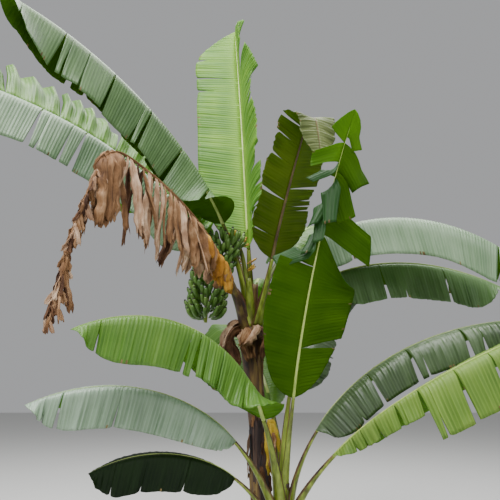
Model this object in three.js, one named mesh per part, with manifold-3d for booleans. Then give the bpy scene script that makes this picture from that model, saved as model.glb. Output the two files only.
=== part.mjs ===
// A fruiting banana plant with its side shoot: two stems from one root, their leaves and a bunch of fruit.
// Millimetres, Z up, X to the right and Y away from the viewer.
// The origin is the middle of the main stem's flat cut at ground level.
import * as THREE from 'three';
import * as BufferGeometryUtils from 'three/addons/utils/BufferGeometryUtils.js';
import Module from 'manifold-3d';

const wasm = await Module();
wasm.setup();

const CLEARANCE = 0.3;
const BLADE_CLEARANCE = 0.6;

// Blades: the sweep is the veins' angle in degrees towards the tip. The gape, the bridge and the row
// spacing are fractions of the blade's length, and the rib's share is one of its half-width.
const BLADE_THICKNESS = 25;
const VEIN_SWEEP = 12;
const TEAR_GAPE = 0.018;
const RIB_BRIDGE = 0.005;
const ROW_SPACE = 0.035;
const RIB_SHARE = 0.06;
const ROWS_PER_BLADE = 7;
const END_ROW = 0.05;
const PATH_STEPS = 96;
const ACROSS_STEPS = 24;
const NEARLY_FLAT = 20;
const SLACK_FROM = 0.7;
const FULL_FOLD_WIDTH = 0.6;
const SHOULDER = 0.16;
const TIP_AT = 0.72;
const TIP_POWER = 2.2;
const BASE_SHARE = 0.06;
const TIP_SHARE = 0.02;
const PROBE = 0.01;
const PLAIN_COLUMNS = [1, 0.55];
const FOLDED_COLUMNS = [0.95, 0.45];

const STALK_SIDES = 6;
const STALK_SPANS = 4;
const STALK_RADIUS = 24;
const STALK_TAPER = 0.72;
const STALK_FLATNESS = 0.85;
const ROOT_SHARE = 0.8;
const ROOT_DEPTH = 110;

const STEM_SIDES = 16;
const STEM_RINGS = 11;
const STEM_RING_CROWDING = 1.8;
const STEM_SHOULDER = 0.97;
const STEM_TOP_SHARE = 0.55;

// A stem is a round, leaning taper with a flare at the ground and a rounded top.
const MAIN_STEM = {
  name: 'main_stem', foot: [0, 0], top: [-100, 0], height: 2060, lean: 1.6,
  radius: 58, taper: 44, taperPower: 1.5, flare: 58, flareHeight: 110,
};
const SIDE_STEM = {
  name: 'side_stem', foot: [130, -270], top: [130, -300], height: 830, lean: 1.2,
  radius: 42, taper: 26, taperPower: 1.2, flare: 72, flareHeight: 70,
};

// The two halves of a blade: lift is the angle at the rib, hang the angle below level at the margin,
// reached between from and to as fractions of the half's width. plumb turns the fall from the rib's
// own down to true down, spread varies the hang from strip to strip, cuts are the tears to the rib.
const FLAT = { lift: 6, hang: 6, from: 0, to: 1, plumb: 0, spread: 0 };
const SLACK = { lift: 6, hang: 50, from: 0.1, to: 0.8, plumb: 0.6, spread: 8 };
const HANGING = { lift: -6, hang: 88, from: 0, to: 0.3, plumb: 0.92, spread: 6 };
const RAISED = { lift: 68, hang: -42, from: 0.45, to: 0.65, plumb: 0.5, spread: 6 };

// Each leaf leaves its stem at foot and heads heading degrees left of X, turning by swerve.
// Its slope goes from rise to droop degrees by the power bend of the way along.
const MAIN_LEAVES = [
  {
    name: 'main_leaf_back', foot: [-80, 50, 2000], heading: 134, swerve: -14,
    rise: 86, droop: 81, bend: 2, petiole: 680, lamina: 2400, half: 450,
    shoulder: 0.3, tipAt: 0.78, roll: -41,
    left: { ...FLAT, lift: 2, hang: 0, cuts: [] },
    right: { ...FLAT, lift: 74, hang: -60, from: 0.4, spread: 14, cuts: [0.62, 0.74, 0.86] },
  },
  {
    name: 'main_leaf_front', foot: [-40, -20, 2000], heading: 305, swerve: -3,
    rise: 70, droop: 56, bend: 1.2, petiole: 550, lamina: 1600, half: 310,
    kink: { at: 0.8, turn: -140, over: 0.05, waist: 0.2, narrowing: 0 }, roll: 10,
    left: { ...FLAT, cuts: [0.36, 0.66] },
    right: { ...FLAT, cuts: [0.3, 0.66] },
  },
  {
    name: 'main_leaf_left_high', foot: [-120, -20, 1980], heading: 221, swerve: 9,
    rise: 94, droop: 3, bend: 0.7, petiole: 880, lamina: 2260, half: 440, settle: 0.2,
    left: { ...HANGING, cuts: [0.13, 0.3, 0.46, 0.62, 0.8] },
    right: { ...SLACK, cuts: [0.25, 0.5, 0.72] },
  },
  {
    name: 'main_leaf_left_low', foot: [-155, -20, 1930], heading: 198, swerve: 15,
    rise: 88, droop: 1, bend: 0.67, petiole: 800, lamina: 2350, half: 430,
    left: { ...HANGING, cuts: [0.22, 0.4, 0.55, 0.7, 0.86] },
    right: { ...RAISED, cuts: [0.25, 0.45, 0.65, 0.82] },
  },
  {
    name: 'main_leaf_right', foot: [-20, 20, 1950], heading: 337, swerve: 9,
    rise: 98, droop: -54, bend: 0.7, petiole: 750, lamina: 2000, half: 400,
    left: { ...SLACK, cuts: [0.3, 0.62] },
    right: { ...HANGING, to: 0.5, cuts: [0.8] },
  },
  {
    name: 'main_leaf_right_low', foot: [-20, 40, 1880], heading: 2, swerve: -10,
    rise: 70, droop: -30, bend: 0.73, petiole: 800, lamina: 1470, half: 340,
    left: { ...SLACK, cuts: [0.4, 0.7] },
    right: { ...HANGING, to: 0.5, cuts: [0.66] },
  },
  {
    name: 'main_leaf_far_left', foot: [-140, 40, 1950], heading: 148, swerve: -4,
    rise: 84, droop: 0, bend: 0.8, petiole: 800, lamina: 2100, half: 350,
    left: { ...SLACK, cuts: [0.25, 0.5, 0.75] },
    right: { ...SLACK, cuts: [0.4, 0.7] },
  },
  {
    name: 'main_leaf_far_right', foot: [-50, 60, 1950], heading: 52, swerve: 6,
    rise: 82, droop: -10, bend: 0.8, petiole: 750, lamina: 2100, half: 350,
    left: { ...SLACK, cuts: [0.4, 0.7] },
    right: { ...SLACK, hang: 70, cuts: [0.3, 0.55, 0.8] },
  },
  {
    name: 'main_leaf_far_low', foot: [-90, 70, 1880], heading: 84, swerve: 0,
    rise: 74, droop: -60, bend: 0.9, petiole: 700, lamina: 1900, half: 330,
    left: { ...HANGING, to: 0.6, cuts: [0.3, 0.6] },
    right: { ...HANGING, to: 0.6, cuts: [0.45, 0.75] },
  },
];

// Dead and dying leaves of the main stem: their halves fold down on both sides of the rib.
// A whole one is only a blade, which starts in the stem.
const LIMP = { lift: -40, hang: 74, from: 0, to: 0.25, plumb: 0.95, spread: 10 };
const DEAD_LEAVES = [
  {
    name: 'dead_leaf', foot: [-130, -70, 1860], heading: 251, swerve: -20,
    rise: 79, droop: -12, bend: 0.5, petiole: 550, lamina: 2500, half: 340,
    kink: { at: 0.66, turn: -72, over: 0.05, waist: 0.75, narrowing: 0.5 }, breakAt: 0.66,
    left: { ...LIMP, cuts: [0.16, 0.3, 0.44, 0.57, 0.78] },
    right: { ...LIMP, cuts: [0.22, 0.37, 0.52, 0.64] },
  },
  {
    name: 'yellow_leaf', foot: [0, -50, 1400], heading: 300, swerve: 0,
    rise: 20, droop: -90, bend: 0.22, petiole: 150, lamina: 440, half: 64, rib: 9,
    left: { ...FLAT, lift: -10, hang: 30, cuts: [] },
    right: { ...FLAT, lift: -10, hang: 30, cuts: [] },
  },
  {
    name: 'dead_sheath_left', foot: [-120, -35, 1990], heading: 216, swerve: 0,
    rise: 35, droop: -90, bend: 0.7, petiole: 5, lamina: 500, half: 95, whole: true,
    left: { ...FLAT, lift: -10, hang: 50, cuts: [] },
    right: { ...FLAT, lift: -10, hang: 50, cuts: [] },
  },
  {
    name: 'dead_sheath_right', foot: [-70, -35, 1960], heading: 305, swerve: 0,
    rise: 20, droop: -90, bend: 0.6, petiole: 5, lamina: 410, half: 70, whole: true,
    left: { ...FLAT, lift: -10, hang: 50, cuts: [] },
    right: { ...FLAT, lift: -10, hang: 50, cuts: [] },
  },
];

const SIDE_LEAVES = [
  {
    name: 'side_leaf_front', foot: [130, -320, 750], heading: 286, swerve: 40, swervePower: 1.5,
    rise: 76, droop: 68, bend: 0.46, petiole: 720, lamina: 2020, half: 330, rib: 17,
    shoulder: 0.3, tipAt: 0.5,
    left: { ...FLAT, cuts: [0.52, 0.64, 0.76, 0.88] },
    right: { ...FLAT, cuts: [0.52, 0.7, 0.82] },
  },
  {
    name: 'side_leaf_far_right', foot: [130, -270, 750], heading: 58, swerve: -10,
    rise: 90, droop: 20, bend: 1.1, petiole: 720, lamina: 1550, half: 310,
    left: { ...SLACK, from: 0, to: 1, cuts: [0.5] },
    right: { ...SLACK, from: 0, to: 1, hang: 60, cuts: [0.45, 0.75] },
  },
  {
    name: 'side_leaf_left_high', foot: [110, -320, 720], heading: 246, swerve: -43,
    rise: 75, droop: -28, bend: 1.5, petiole: 620, lamina: 1630, half: 330, settle: 0.3,
    left: { ...HANGING, cuts: [0.5] },
    right: { ...SLACK, cuts: [0.45] },
  },
  {
    name: 'side_leaf_left_mid', foot: [90, -310, 620], heading: 222, swerve: -29,
    rise: 67, droop: -26, bend: 1.2, petiole: 660, lamina: 1440, half: 285, shoulder: 0.45,
    left: { ...HANGING, cuts: [0.84] },
    right: { ...SLACK, cuts: [0.4] },
  },
  {
    name: 'side_leaf_left_low', foot: [90, -285, 520], heading: 217, swerve: -27,
    rise: 64, droop: -28, bend: 1.1, petiole: 540, lamina: 1000, half: 250, shoulder: 0.35,
    left: { ...HANGING, cuts: [] },
    right: { ...SLACK, cuts: [] },
  },
  {
    name: 'side_leaf_right', foot: [170, -290, 660], heading: 337, swerve: 16,
    rise: 88, droop: -1, bend: 0.75, petiole: 600, lamina: 1760, half: 310,
    left: { ...SLACK, hang: 30, cuts: [0.55] },
    right: { ...HANGING, to: 0.6, cuts: [0.3, 0.48, 0.7] },
  },
  {
    name: 'side_leaf_right_low', foot: [170, -320, 600], heading: 309, swerve: 56,
    rise: 76, droop: 17, bend: 0.4, petiole: 620, lamina: 1890, half: 370, shoulder: 0.5,
    left: { ...SLACK, cuts: [0.52] },
    right: { ...HANGING, plumb: 1, cuts: [0.28, 0.45, 0.6, 0.8] },
  },
  {
    name: 'side_leaf_far', foot: [150, -260, 680], heading: 105, swerve: 12,
    rise: 80, droop: 5, bend: 1, petiole: 750, lamina: 1600, half: 280,
    left: { ...SLACK, cuts: [0.5] },
    right: { ...SLACK, cuts: [0.4, 0.7] },
  },
];

// The bunch hangs from a stalk that climbs out of the crown, arches to the left and turns down.
const BUNCH = {
  route: [[-95, 10, 1990], [-130, 15, 2350], [-170, -5, 2600], [-240, -50, 2700],
    [-335, -110, 2590], [-400, -140, 2400], [-440, -155, 2180], [-450, -165, 2000]],
  stalkRadius: 21, stalkTaper: 0.35, stalkSpans: 16, stalkSides: 7, fingerRoot: 12,
  hands: 7, firstHand: 0.58, lastHand: 0.97, fingersPerHand: 7, handArc: 290, handFacing: 235,
  fingerLength: 185, fingerWidths: [7, 19, 18, 6], fingerTurn: 75, smallest: 0.72, fingerSides: 5,
};

const WOOD = new THREE.MeshStandardMaterial({ color: '#5b3527', roughness: 0.75, metalness: 0 });
const STALK_GREEN = new THREE.MeshStandardMaterial({ color: '#8a9a45', roughness: 0.5, metalness: 0 });
const LEAF_GREEN = new THREE.MeshStandardMaterial({ color: '#5f8f45', roughness: 0.45, metalness: 0 });
const DEAD_BROWN = new THREE.MeshStandardMaterial({ color: '#9a6f52', roughness: 0.9, metalness: 0 });
const FADED_YELLOW = new THREE.MeshStandardMaterial({ color: '#c9a02e', roughness: 0.7, metalness: 0 });
const FRUIT_GREEN = new THREE.MeshStandardMaterial({ color: '#4f7d38', roughness: 0.45, metalness: 0 });

function chance(seed) {
  const wave = Math.sin(seed * 12.9898 + 4.1414) * 43758.5453;
  return wave - Math.floor(wave);
}

// A closed body through rings of equal count, capped at both ends by zigzag strips across the ring.
function loft(rings) {
  const count = rings[0].length;
  const positions = rings.flat().flatMap((point) => [point.x, point.y, point.z]);
  const index = [];
  for (let ring = 0; ring < rings.length - 1; ring += 1) {
    for (let corner = 0; corner < count; corner += 1) {
      const here = ring * count + corner;
      const next = ring * count + (corner + 1) % count;
      index.push(here, next, next + count, here, next + count, here + count);
    }
  }
  const last = (rings.length - 1) * count;
  let low = 0;
  let high = count - 1;
  while (high - low > 1) {
    index.push(low, high, low + 1, last + low, last + low + 1, last + high);
    low += 1;
    if (high - low > 1) {
      index.push(low, high, high - 1, last + low, last + high - 1, last + high);
      high -= 1;
    }
  }
  return closedBody(positions, index);
}

function closedBody(positions, index) {
  const geometry = new THREE.BufferGeometry();
  geometry.setAttribute('position', new THREE.Float32BufferAttribute(positions, 3));
  geometry.setIndex(signedVolume(positions, index) < 0 ? index.reverse() : index);
  return geometry;
}

function signedVolume(positions, index) {
  const corner = (k) => new THREE.Vector3().fromArray(positions, 3 * index[k]);
  let volume = 0;
  for (let k = 0; k < index.length; k += 3) {
    volume += corner(k).dot(corner(k + 1).cross(corner(k + 2))) / 6;
  }
  return volume;
}

function toSolid(geometry) {
  const merged = BufferGeometryUtils.mergeVertices(geometry, 1e-4);
  return new wasm.Manifold(new wasm.Mesh({
    numProp: 3,
    vertProperties: Float32Array.from(merged.attributes.position.array),
    triVerts: Uint32Array.from(merged.index.array),
  }));
}

function toGeometry(solid) {
  const mesh = solid.getMesh();
  const geometry = new THREE.BufferGeometry();
  geometry.setAttribute('position', new THREE.BufferAttribute(mesh.vertProperties, 3));
  geometry.setIndex(new THREE.BufferAttribute(mesh.triVerts, 1));
  geometry.computeVertexNormals();
  return geometry;
}

// Rounded polygon around a centre, in the plane of the two unit directions.
function ringAround(centre, across, up, width, depth, sides) {
  return Array.from({ length: sides }, (_, corner) => {
    const angle = (corner + 0.5) / sides * 2 * Math.PI;
    return centre.clone()
      .addScaledVector(across, width * Math.cos(angle))
      .addScaledVector(up, depth * Math.sin(angle));
  });
}

function stemCentre(stem, height) {
  const way = (Math.max(height, 0) / stem.height) ** stem.lean;
  return new THREE.Vector3(
    stem.foot[0] + (stem.top[0] - stem.foot[0]) * way,
    stem.foot[1] + (stem.top[1] - stem.foot[1]) * way,
    height,
  );
}

function stemRadius(stem, height) {
  const way = Math.min(height / stem.height, 1);
  return stem.radius + stem.taper * (1 - way) ** stem.taperPower
    + stem.flare * Math.exp(-height / stem.flareHeight);
}

function stemSolid(stem, grow) {
  const rings = [];
  const across = new THREE.Vector3(1, 0, 0);
  const away = new THREE.Vector3(0, 1, 0);
  const addRing = (height, share) => {
    const radius = stemRadius(stem, height) * share + grow;
    rings.push(ringAround(stemCentre(stem, height), across, away, radius, radius, STEM_SIDES));
  };
  for (let ring = 0; ring < STEM_RINGS; ring += 1) {
    addRing(STEM_SHOULDER * stem.height * (ring / (STEM_RINGS - 1)) ** STEM_RING_CROWDING, 1);
  }
  addRing(stem.height, STEM_TOP_SHARE);
  return toSolid(loft(rings));
}

// Directions of a leaf's rib at the fraction s of its whole length.
function ribDirections(leaf, s) {
  let slope = leaf.rise + (leaf.droop - leaf.rise) * s ** leaf.bend;
  if (leaf.kink) {
    const { at, turn, over } = leaf.kink;
    slope += turn * THREE.MathUtils.smoothstep(s, at - over, at + over);
  }
  const elevation = THREE.MathUtils.degToRad(slope);
  const turned = leaf.swerve * s ** (leaf.swervePower ?? 1);
  const heading = THREE.MathUtils.degToRad(leaf.heading + turned);
  const along = new THREE.Vector3(
    Math.cos(elevation) * Math.cos(heading),
    Math.cos(elevation) * Math.sin(heading),
    Math.sin(elevation),
  );
  const level = new THREE.Vector3(-Math.sin(heading), Math.cos(heading), 0);
  const raised = along.clone().cross(level);
  const roll = THREE.MathUtils.degToRad(leaf.roll ?? 0);
  const turn = (first, second, angle) => (
    first.clone().multiplyScalar(Math.cos(angle)).addScaledVector(second, Math.sin(angle)));
  return { along, across: turn(level, raised, roll), up: turn(raised, level, -roll) };
}

function ribPath(leaf) {
  const step = (leaf.petiole + leaf.lamina) / PATH_STEPS;
  const point = new THREE.Vector3(...leaf.foot);
  const path = [point.clone()];
  for (let k = 0; k < PATH_STEPS; k += 1) {
    point.addScaledVector(ribDirections(leaf, (k + 0.5) / PATH_STEPS).along, step);
    path.push(point.clone());
  }
  return path;
}

function ribFrame(leaf, s) {
  const place = Math.min(s * PATH_STEPS, PATH_STEPS - 1e-6);
  const whole = Math.floor(place);
  const point = leaf.path[whole].clone().lerp(leaf.path[whole + 1], place - whole);
  return { point, ...ribDirections(leaf, s) };
}

const neckOf = (leaf) => leaf.petiole / (leaf.petiole + leaf.lamina);
const toWhole = (leaf, u) => neckOf(leaf) + u * (1 - neckOf(leaf));
const toBlade = (leaf, s) => (s - neckOf(leaf)) / (1 - neckOf(leaf));
const halfOf = (leaf, side) => (side > 0 ? leaf.left : leaf.right);
const stalkSize = (leaf, s) => (leaf.rib ?? STALK_RADIUS) * (1 - STALK_TAPER * s ** 0.6);

// Half-width of the blade at the fraction u of the lamina: round at the base, pointed at the tip, with
// a waist where the blade is kinked and narrower beyond.
function halfWidth(leaf, u) {
  const base = Math.sqrt(1 - (1 - Math.min(u / (leaf.shoulder ?? SHOULDER), 1)) ** 2);
  const tipAt = leaf.tipAt ?? TIP_AT;
  const tip = 1 - Math.max((u - tipAt) / (1 - tipAt), 0) ** TIP_POWER;
  const width = leaf.half * (BASE_SHARE + (1 - BASE_SHARE) * base) * (TIP_SHARE + (1 - TIP_SHARE) * tip);
  if (!leaf.kink) return width;
  const { at, over, waist, narrowing } = leaf.kink;
  const s = toWhole(leaf, u);
  const beyond = THREE.MathUtils.smoothstep(s, at - over, at + over);
  return width * (1 - waist * Math.exp(-(((s - at) / over) ** 2))) * (1 - narrowing * beyond);
}

// Where the blade is narrow, at its base and its tip, it folds less. A blade that settles also starts
// flat and folds fully from the fraction settle on.
const fullness = (leaf, u) => Math.min(halfWidth(leaf, u) / (FULL_FOLD_WIDTH * leaf.half), 1);

function foldEase(leaf, u) {
  const settled = leaf.settle ? THREE.MathUtils.smoothstep(u, 0, leaf.settle) : 1;
  return fullness(leaf, u) * settled;
}

// A point of the blade at a fraction across one half, side 1 left and -1 right.
function bladePoint(leaf, side, u, fraction, extraHang) {
  const { lift, hang, from, to, plumb } = halfOf(leaf, side);
  const { point, along, across, up } = ribFrame(leaf, toWhole(leaf, u));
  const level = 1 - along.z ** 2;
  const width = halfWidth(leaf, u);
  const ease = foldEase(leaf, u);
  const stride = width * fraction / ACROSS_STEPS;
  for (let k = 0; k < ACROSS_STEPS; k += 1) {
    const way = (k + 0.5) / ACROSS_STEPS * fraction;
    const fall = THREE.MathUtils.smoothstep(way, from, to) * ease;
    const angle = THREE.MathUtils.degToRad(lift - (lift + hang + extraHang) * fall);
    const normal = up.clone().multiplyScalar(1 - plumb * level * fall);
    normal.z += plumb * level * fall;
    const outward = across.clone().multiplyScalar(side * Math.cos(angle))
      .addScaledVector(normal.normalize(), Math.sin(angle))
      .addScaledVector(along, Math.tan(THREE.MathUtils.degToRad(VEIN_SWEEP)));
    point.addScaledVector(outward.normalize(), stride);
  }
  return point;
}

// Rows of the blade's grid: even stations, the bends, and a pair of rows at each tear.
function bladeRows(leaf, start, end) {
  const tears = [...new Set([...leaf.left.cuts, ...leaf.right.cuts])]
    .filter((u) => u > start + ROW_SPACE && u < end - ROW_SPACE);
  const bends = (leaf.kink ? [-1, -0.4, 0.4, 1] : [])
    .map((share) => toBlade(leaf, leaf.kink.at + share * leaf.kink.over));
  const even = Array.from({ length: ROWS_PER_BLADE + 1 }, (_, k) => k / ROWS_PER_BLADE);
  even.push(END_ROW, 1 - END_ROW);
  const isClearOf = (others, u) => others.every((other) => Math.abs(u - other) > ROW_SPACE);
  const plain = [...bends, ...even.filter((u) => isClearOf(bends, u))]
    .filter((u) => u > start + ROW_SPACE && u < end - ROW_SPACE && isClearOf(tears, u));
  const rows = [start, end, ...plain].map((u) => ({ u, torn: [], phase: 0 }));
  for (const u of tears) {
    const torn = [1, -1].filter((side) => halfOf(leaf, side).cuts.includes(u));
    rows.push({ u: u - RIB_BRIDGE, torn, phase: -1 }, { u: u + RIB_BRIDGE, torn, phase: 1 });
  }
  return rows.sort((first, second) => first.u - second.u);
}

function bladeColumns(leaf) {
  const inward = (side) => {
    const { lift, hang, to } = halfOf(leaf, side);
    if (Math.abs(lift + hang) < NEARLY_FLAT) return [1, RIB_SHARE];
    if (to > SLACK_FROM) return [...PLAIN_COLUMNS, RIB_SHARE];
    return [1, ...FOLDED_COLUMNS.map((share) => share * to), RIB_SHARE];
  };
  const left = inward(1).map((fraction) => ({ side: 1, fraction }));
  const right = inward(-1).map((fraction) => ({ side: -1, fraction })).reverse();
  return [...left, ...right];
}

// Top and bottom corner of the slab at one row and column of the grid.
function slabCorners(leaf, row, column, grow) {
  const half = halfOf(leaf, column.side);
  const strip = half.cuts.filter((cut) => cut < row.u).length;
  const seed = leaf.foot[2] + leaf.heading * column.side + strip;
  const extraHang = half.spread * (2 * chance(seed) - 1);
  const gape = row.torn.includes(column.side) ? row.phase * TEAR_GAPE : 0;
  const shrink = row.phase * grow / leaf.lamina;
  const u = THREE.MathUtils.clamp(row.u + gape * column.fraction - shrink, 0, 1);
  const at = (v, fraction) => bladePoint(leaf, column.side, v, fraction, extraHang);
  const [before, after] = [Math.max(u - PROBE, 0), Math.min(u + PROBE, 1)];
  const onward = at(after, column.fraction).sub(at(before, column.fraction));
  const outward = at(u, column.fraction).sub(at(u, column.fraction - RIB_SHARE));
  const { up } = ribDirections(leaf, toWhole(leaf, u));
  const normal = onward.clone().cross(outward).normalize().multiplyScalar(column.side);
  normal.lerp(up, 1 - fullness(leaf, u)).normalize();
  const centre = at(u, column.fraction);
  if (column.fraction === 1) centre.addScaledVector(outward.normalize(), grow);
  if (row.end) centre.addScaledVector(onward.normalize(), row.end * grow);
  const depth = BLADE_THICKNESS / 2 + grow;
  return [centre.clone().addScaledVector(normal, depth), centre.addScaledVector(normal, -depth)];
}

// The blade as one slab, open at the tears from the margin to the rib.
function bladeSolid(leaf, start, end, grow) {
  const rows = bladeRows(leaf, start, end);
  rows[0].end = -1;
  rows[rows.length - 1].end = 1;
  const columns = bladeColumns(leaf);
  const positions = [];
  for (const row of rows) {
    for (const column of columns) {
      for (const corner of slabCorners(leaf, row, column, grow)) positions.push(...corner.toArray());
    }
  }
  const isOpen = (row, cell) => {
    if (row < 0 || cell < 0 || row >= rows.length - 1 || cell >= columns.length - 1) return true;
    const { side } = columns[cell];
    const isCentre = columns[cell + 1].side !== side;
    return !isCentre && rows[row].phase < 0 && rows[row].torn.includes(side);
  };
  const vertex = (row, column, layer) => 2 * (row * columns.length + column) + layer;
  const index = [];
  const quad = (a, b, c, d) => index.push(a, b, c, a, c, d);
  for (let row = 0; row < rows.length - 1; row += 1) {
    for (let cell = 0; cell < columns.length - 1; cell += 1) {
      if (isOpen(row, cell)) continue;
      const corners = [[row, cell], [row + 1, cell], [row + 1, cell + 1], [row, cell + 1]];
      const beyond = [[row, cell - 1], [row + 1, cell], [row, cell + 1], [row - 1, cell]];
      quad(...corners.map(([r, c]) => vertex(r, c, 0)));
      quad(...corners.map(([r, c]) => vertex(r, c, 1)).reverse());
      corners.forEach(([r, c], k) => {
        if (!isOpen(...beyond[k])) return;
        const next = corners[(k + 1) % 4];
        quad(vertex(r, c, 0), vertex(r, c, 1), vertex(...next, 1), vertex(...next, 0));
      });
    }
  }
  return toSolid(closedBody(positions, index));
}

// The leaf stalk, from a root inside its stem to the start of the blade.
function stalkSolid(leaf, grow) {
  const { across, up } = ribDirections(leaf, 0);
  const root = stemCentre(leaf.stem, leaf.foot[2] - ROOT_DEPTH);
  const rootSize = ROOT_SHARE * stalkSize(leaf, 0) + grow;
  const rings = [ringAround(root, across, up, rootSize, rootSize, STALK_SIDES)];
  for (let span = 0; span <= STALK_SPANS; span += 1) {
    const s = neckOf(leaf) * span / STALK_SPANS;
    const frame = ribFrame(leaf, s);
    const size = stalkSize(leaf, s) + grow;
    const centre = frame.point.clone().addScaledVector(frame.up, -0.5 * stalkSize(leaf, s));
    rings.push(ringAround(centre, frame.across, frame.up, size, STALK_FLATNESS * size, STALK_SIDES));
  }
  return toSolid(loft(rings));
}

function curveFrame(curve, fraction) {
  const point = curve.getPointAt(fraction);
  const along = curve.getTangentAt(fraction);
  const across = new THREE.Vector3(0, 0, 1).cross(along);
  if (across.length() < 0.05) across.set(1, 0, 0);
  across.addScaledVector(along, -across.dot(along)).normalize();
  return { point, along, across, up: along.clone().cross(across) };
}

const bunchCurve = new THREE.CatmullRomCurve3(BUNCH.route.map((place) => new THREE.Vector3(...place)));

function bunchStalkSolid(grow) {
  const rings = [];
  for (let span = 0; span <= BUNCH.stalkSpans; span += 1) {
    const { point, across, up } = curveFrame(bunchCurve, span / BUNCH.stalkSpans);
    const radius = BUNCH.stalkRadius * (1 - BUNCH.stalkTaper * span / BUNCH.stalkSpans) + grow;
    rings.push(ringAround(point, across, up, radius, radius, BUNCH.stalkSides));
  }
  return toSolid(loft(rings));
}

// A finger starts straight out from the stalk and curls up towards the sky.
function fingerSolid(base, outward, size, grow) {
  const turn = THREE.MathUtils.degToRad(BUNCH.fingerTurn);
  const length = BUNCH.fingerLength * size;
  const sky = new THREE.Vector3(0, 0, 1);
  const across = sky.clone().cross(outward).normalize();
  const rings = BUNCH.fingerWidths.map((width, k, { length: count }) => {
    const angle = turn * k / (count - 1);
    const centre = base.clone()
      .addScaledVector(outward, length * Math.sin(angle) / turn)
      .addScaledVector(sky, length * (1 - Math.cos(angle)) / turn);
    const up = outward.clone().multiplyScalar(-Math.sin(angle)).addScaledVector(sky, Math.cos(angle));
    const radius = size * width + grow;
    return ringAround(centre, across, up, radius, radius, BUNCH.fingerSides);
  });
  return toSolid(loft(rings));
}

function bunchSolid(grow) {
  const pieces = [bunchStalkSolid(grow)];
  for (let hand = 0; hand < BUNCH.hands; hand += 1) {
    const way = hand / (BUNCH.hands - 1);
    const knot = bunchCurve.getPointAt(THREE.MathUtils.lerp(BUNCH.firstHand, BUNCH.lastHand, way));
    const size = 1 - (1 - BUNCH.smallest) * way;
    for (let finger = 0; finger < BUNCH.fingersPerHand; finger += 1) {
      const share = (finger + 0.5 * (hand % 2) + 0.25) / BUNCH.fingersPerHand - 0.5;
      const angle = THREE.MathUtils.degToRad(BUNCH.handFacing + BUNCH.handArc * share);
      const outward = new THREE.Vector3(Math.cos(angle), Math.sin(angle), 0);
      const base = knot.clone().addScaledVector(outward, BUNCH.fingerRoot);
      pieces.push(fingerSolid(base, outward, size, grow));
    }
  }
  return wasm.Manifold.union(pieces);
}

const plant = new THREE.Group();
const placed = [];

function boxesMeet(first, second) {
  return [0, 1, 2].every((axis) => (
    first.min[axis] <= second.max[axis] && second.min[axis] <= first.max[axis]));
}

// Adds one sub-part, cut back from those placed before it, and keeps its largest piece.
function place(name, material, make, clearance = CLEARANCE) {
  let solid = make(0);
  const box = solid.boundingBox();
  for (const other of placed) {
    if (boxesMeet(box, other.box)) solid = solid.subtract(other.grown);
  }
  const [largest] = solid.decompose().sort((first, second) => second.volume() - first.volume());
  const grown = make(clearance);
  placed.push({ grown, box: grown.boundingBox() });
  const mesh = new THREE.Mesh(toGeometry(largest), material);
  mesh.name = name;
  plant.add(mesh);
}

for (const stem of [MAIN_STEM, SIDE_STEM]) {
  place(stem.name, WOOD, (grow) => stemSolid(stem, grow));
}

const leaves = [
  ...MAIN_LEAVES.map((leaf) => ({ ...leaf, stem: MAIN_STEM, colour: LEAF_GREEN })),
  ...DEAD_LEAVES.map((leaf) => (
    { ...leaf, stem: MAIN_STEM, colour: leaf.name === 'yellow_leaf' ? FADED_YELLOW : DEAD_BROWN })),
  ...SIDE_LEAVES.map((leaf) => ({ ...leaf, stem: SIDE_STEM, colour: LEAF_GREEN })),
];
for (const leaf of leaves) leaf.path = ribPath(leaf);
for (const leaf of leaves.filter(({ whole }) => !whole)) {
  place(`${leaf.name}_stalk`, STALK_GREEN, (grow) => stalkSolid(leaf, grow));
}
place('bunch', FRUIT_GREEN, bunchSolid);
for (const leaf of leaves.filter(({ whole }) => whole)) {
  place(leaf.name, leaf.colour, (grow) => bladeSolid(leaf, 0, 1, grow), BLADE_CLEARANCE);
}
for (const leaf of leaves.filter(({ whole }) => !whole)) {
  const gap = BLADE_CLEARANCE / leaf.lamina;
  const stops = [0, ...(leaf.breakAt ? [toBlade(leaf, leaf.breakAt)] : []), 1];
  for (let k = 0; k < stops.length - 1; k += 1) {
    const name = k > 0 ? `${leaf.name}_tip` : `${leaf.name}_blade`;
    const make = (grow) => bladeSolid(leaf, stops[k] + gap, stops[k + 1], grow);
    place(name, leaf.colour, make, BLADE_CLEARANCE);
  }
}

export default plant;
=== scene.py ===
"""Looks of a fruiting banana plant with its side shoot: fine leaves, sheathed stems, a bunch of fruit.

Metres, Z up, X to the right and Y away from the camera. A leaf follows the same rule as its solid:
a rib that bends along its length, and two half-blades that fall away from it strip by strip.
"""
import math

import bmesh
import bpy
import numpy as np
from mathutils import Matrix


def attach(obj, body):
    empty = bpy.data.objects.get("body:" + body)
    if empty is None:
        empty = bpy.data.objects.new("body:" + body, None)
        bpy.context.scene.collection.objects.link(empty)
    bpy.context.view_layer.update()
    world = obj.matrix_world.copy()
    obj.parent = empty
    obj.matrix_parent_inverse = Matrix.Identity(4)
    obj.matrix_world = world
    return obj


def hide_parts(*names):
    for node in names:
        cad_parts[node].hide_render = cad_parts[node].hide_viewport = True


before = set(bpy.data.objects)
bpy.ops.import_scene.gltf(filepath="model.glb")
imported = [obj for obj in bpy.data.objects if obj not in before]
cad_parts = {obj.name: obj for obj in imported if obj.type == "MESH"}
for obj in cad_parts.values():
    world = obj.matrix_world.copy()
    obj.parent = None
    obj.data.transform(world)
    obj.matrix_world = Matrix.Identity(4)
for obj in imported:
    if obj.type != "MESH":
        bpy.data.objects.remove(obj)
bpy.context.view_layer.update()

MM = 0.001
UP = np.array([0.0, 0.0, 1.0])

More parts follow.
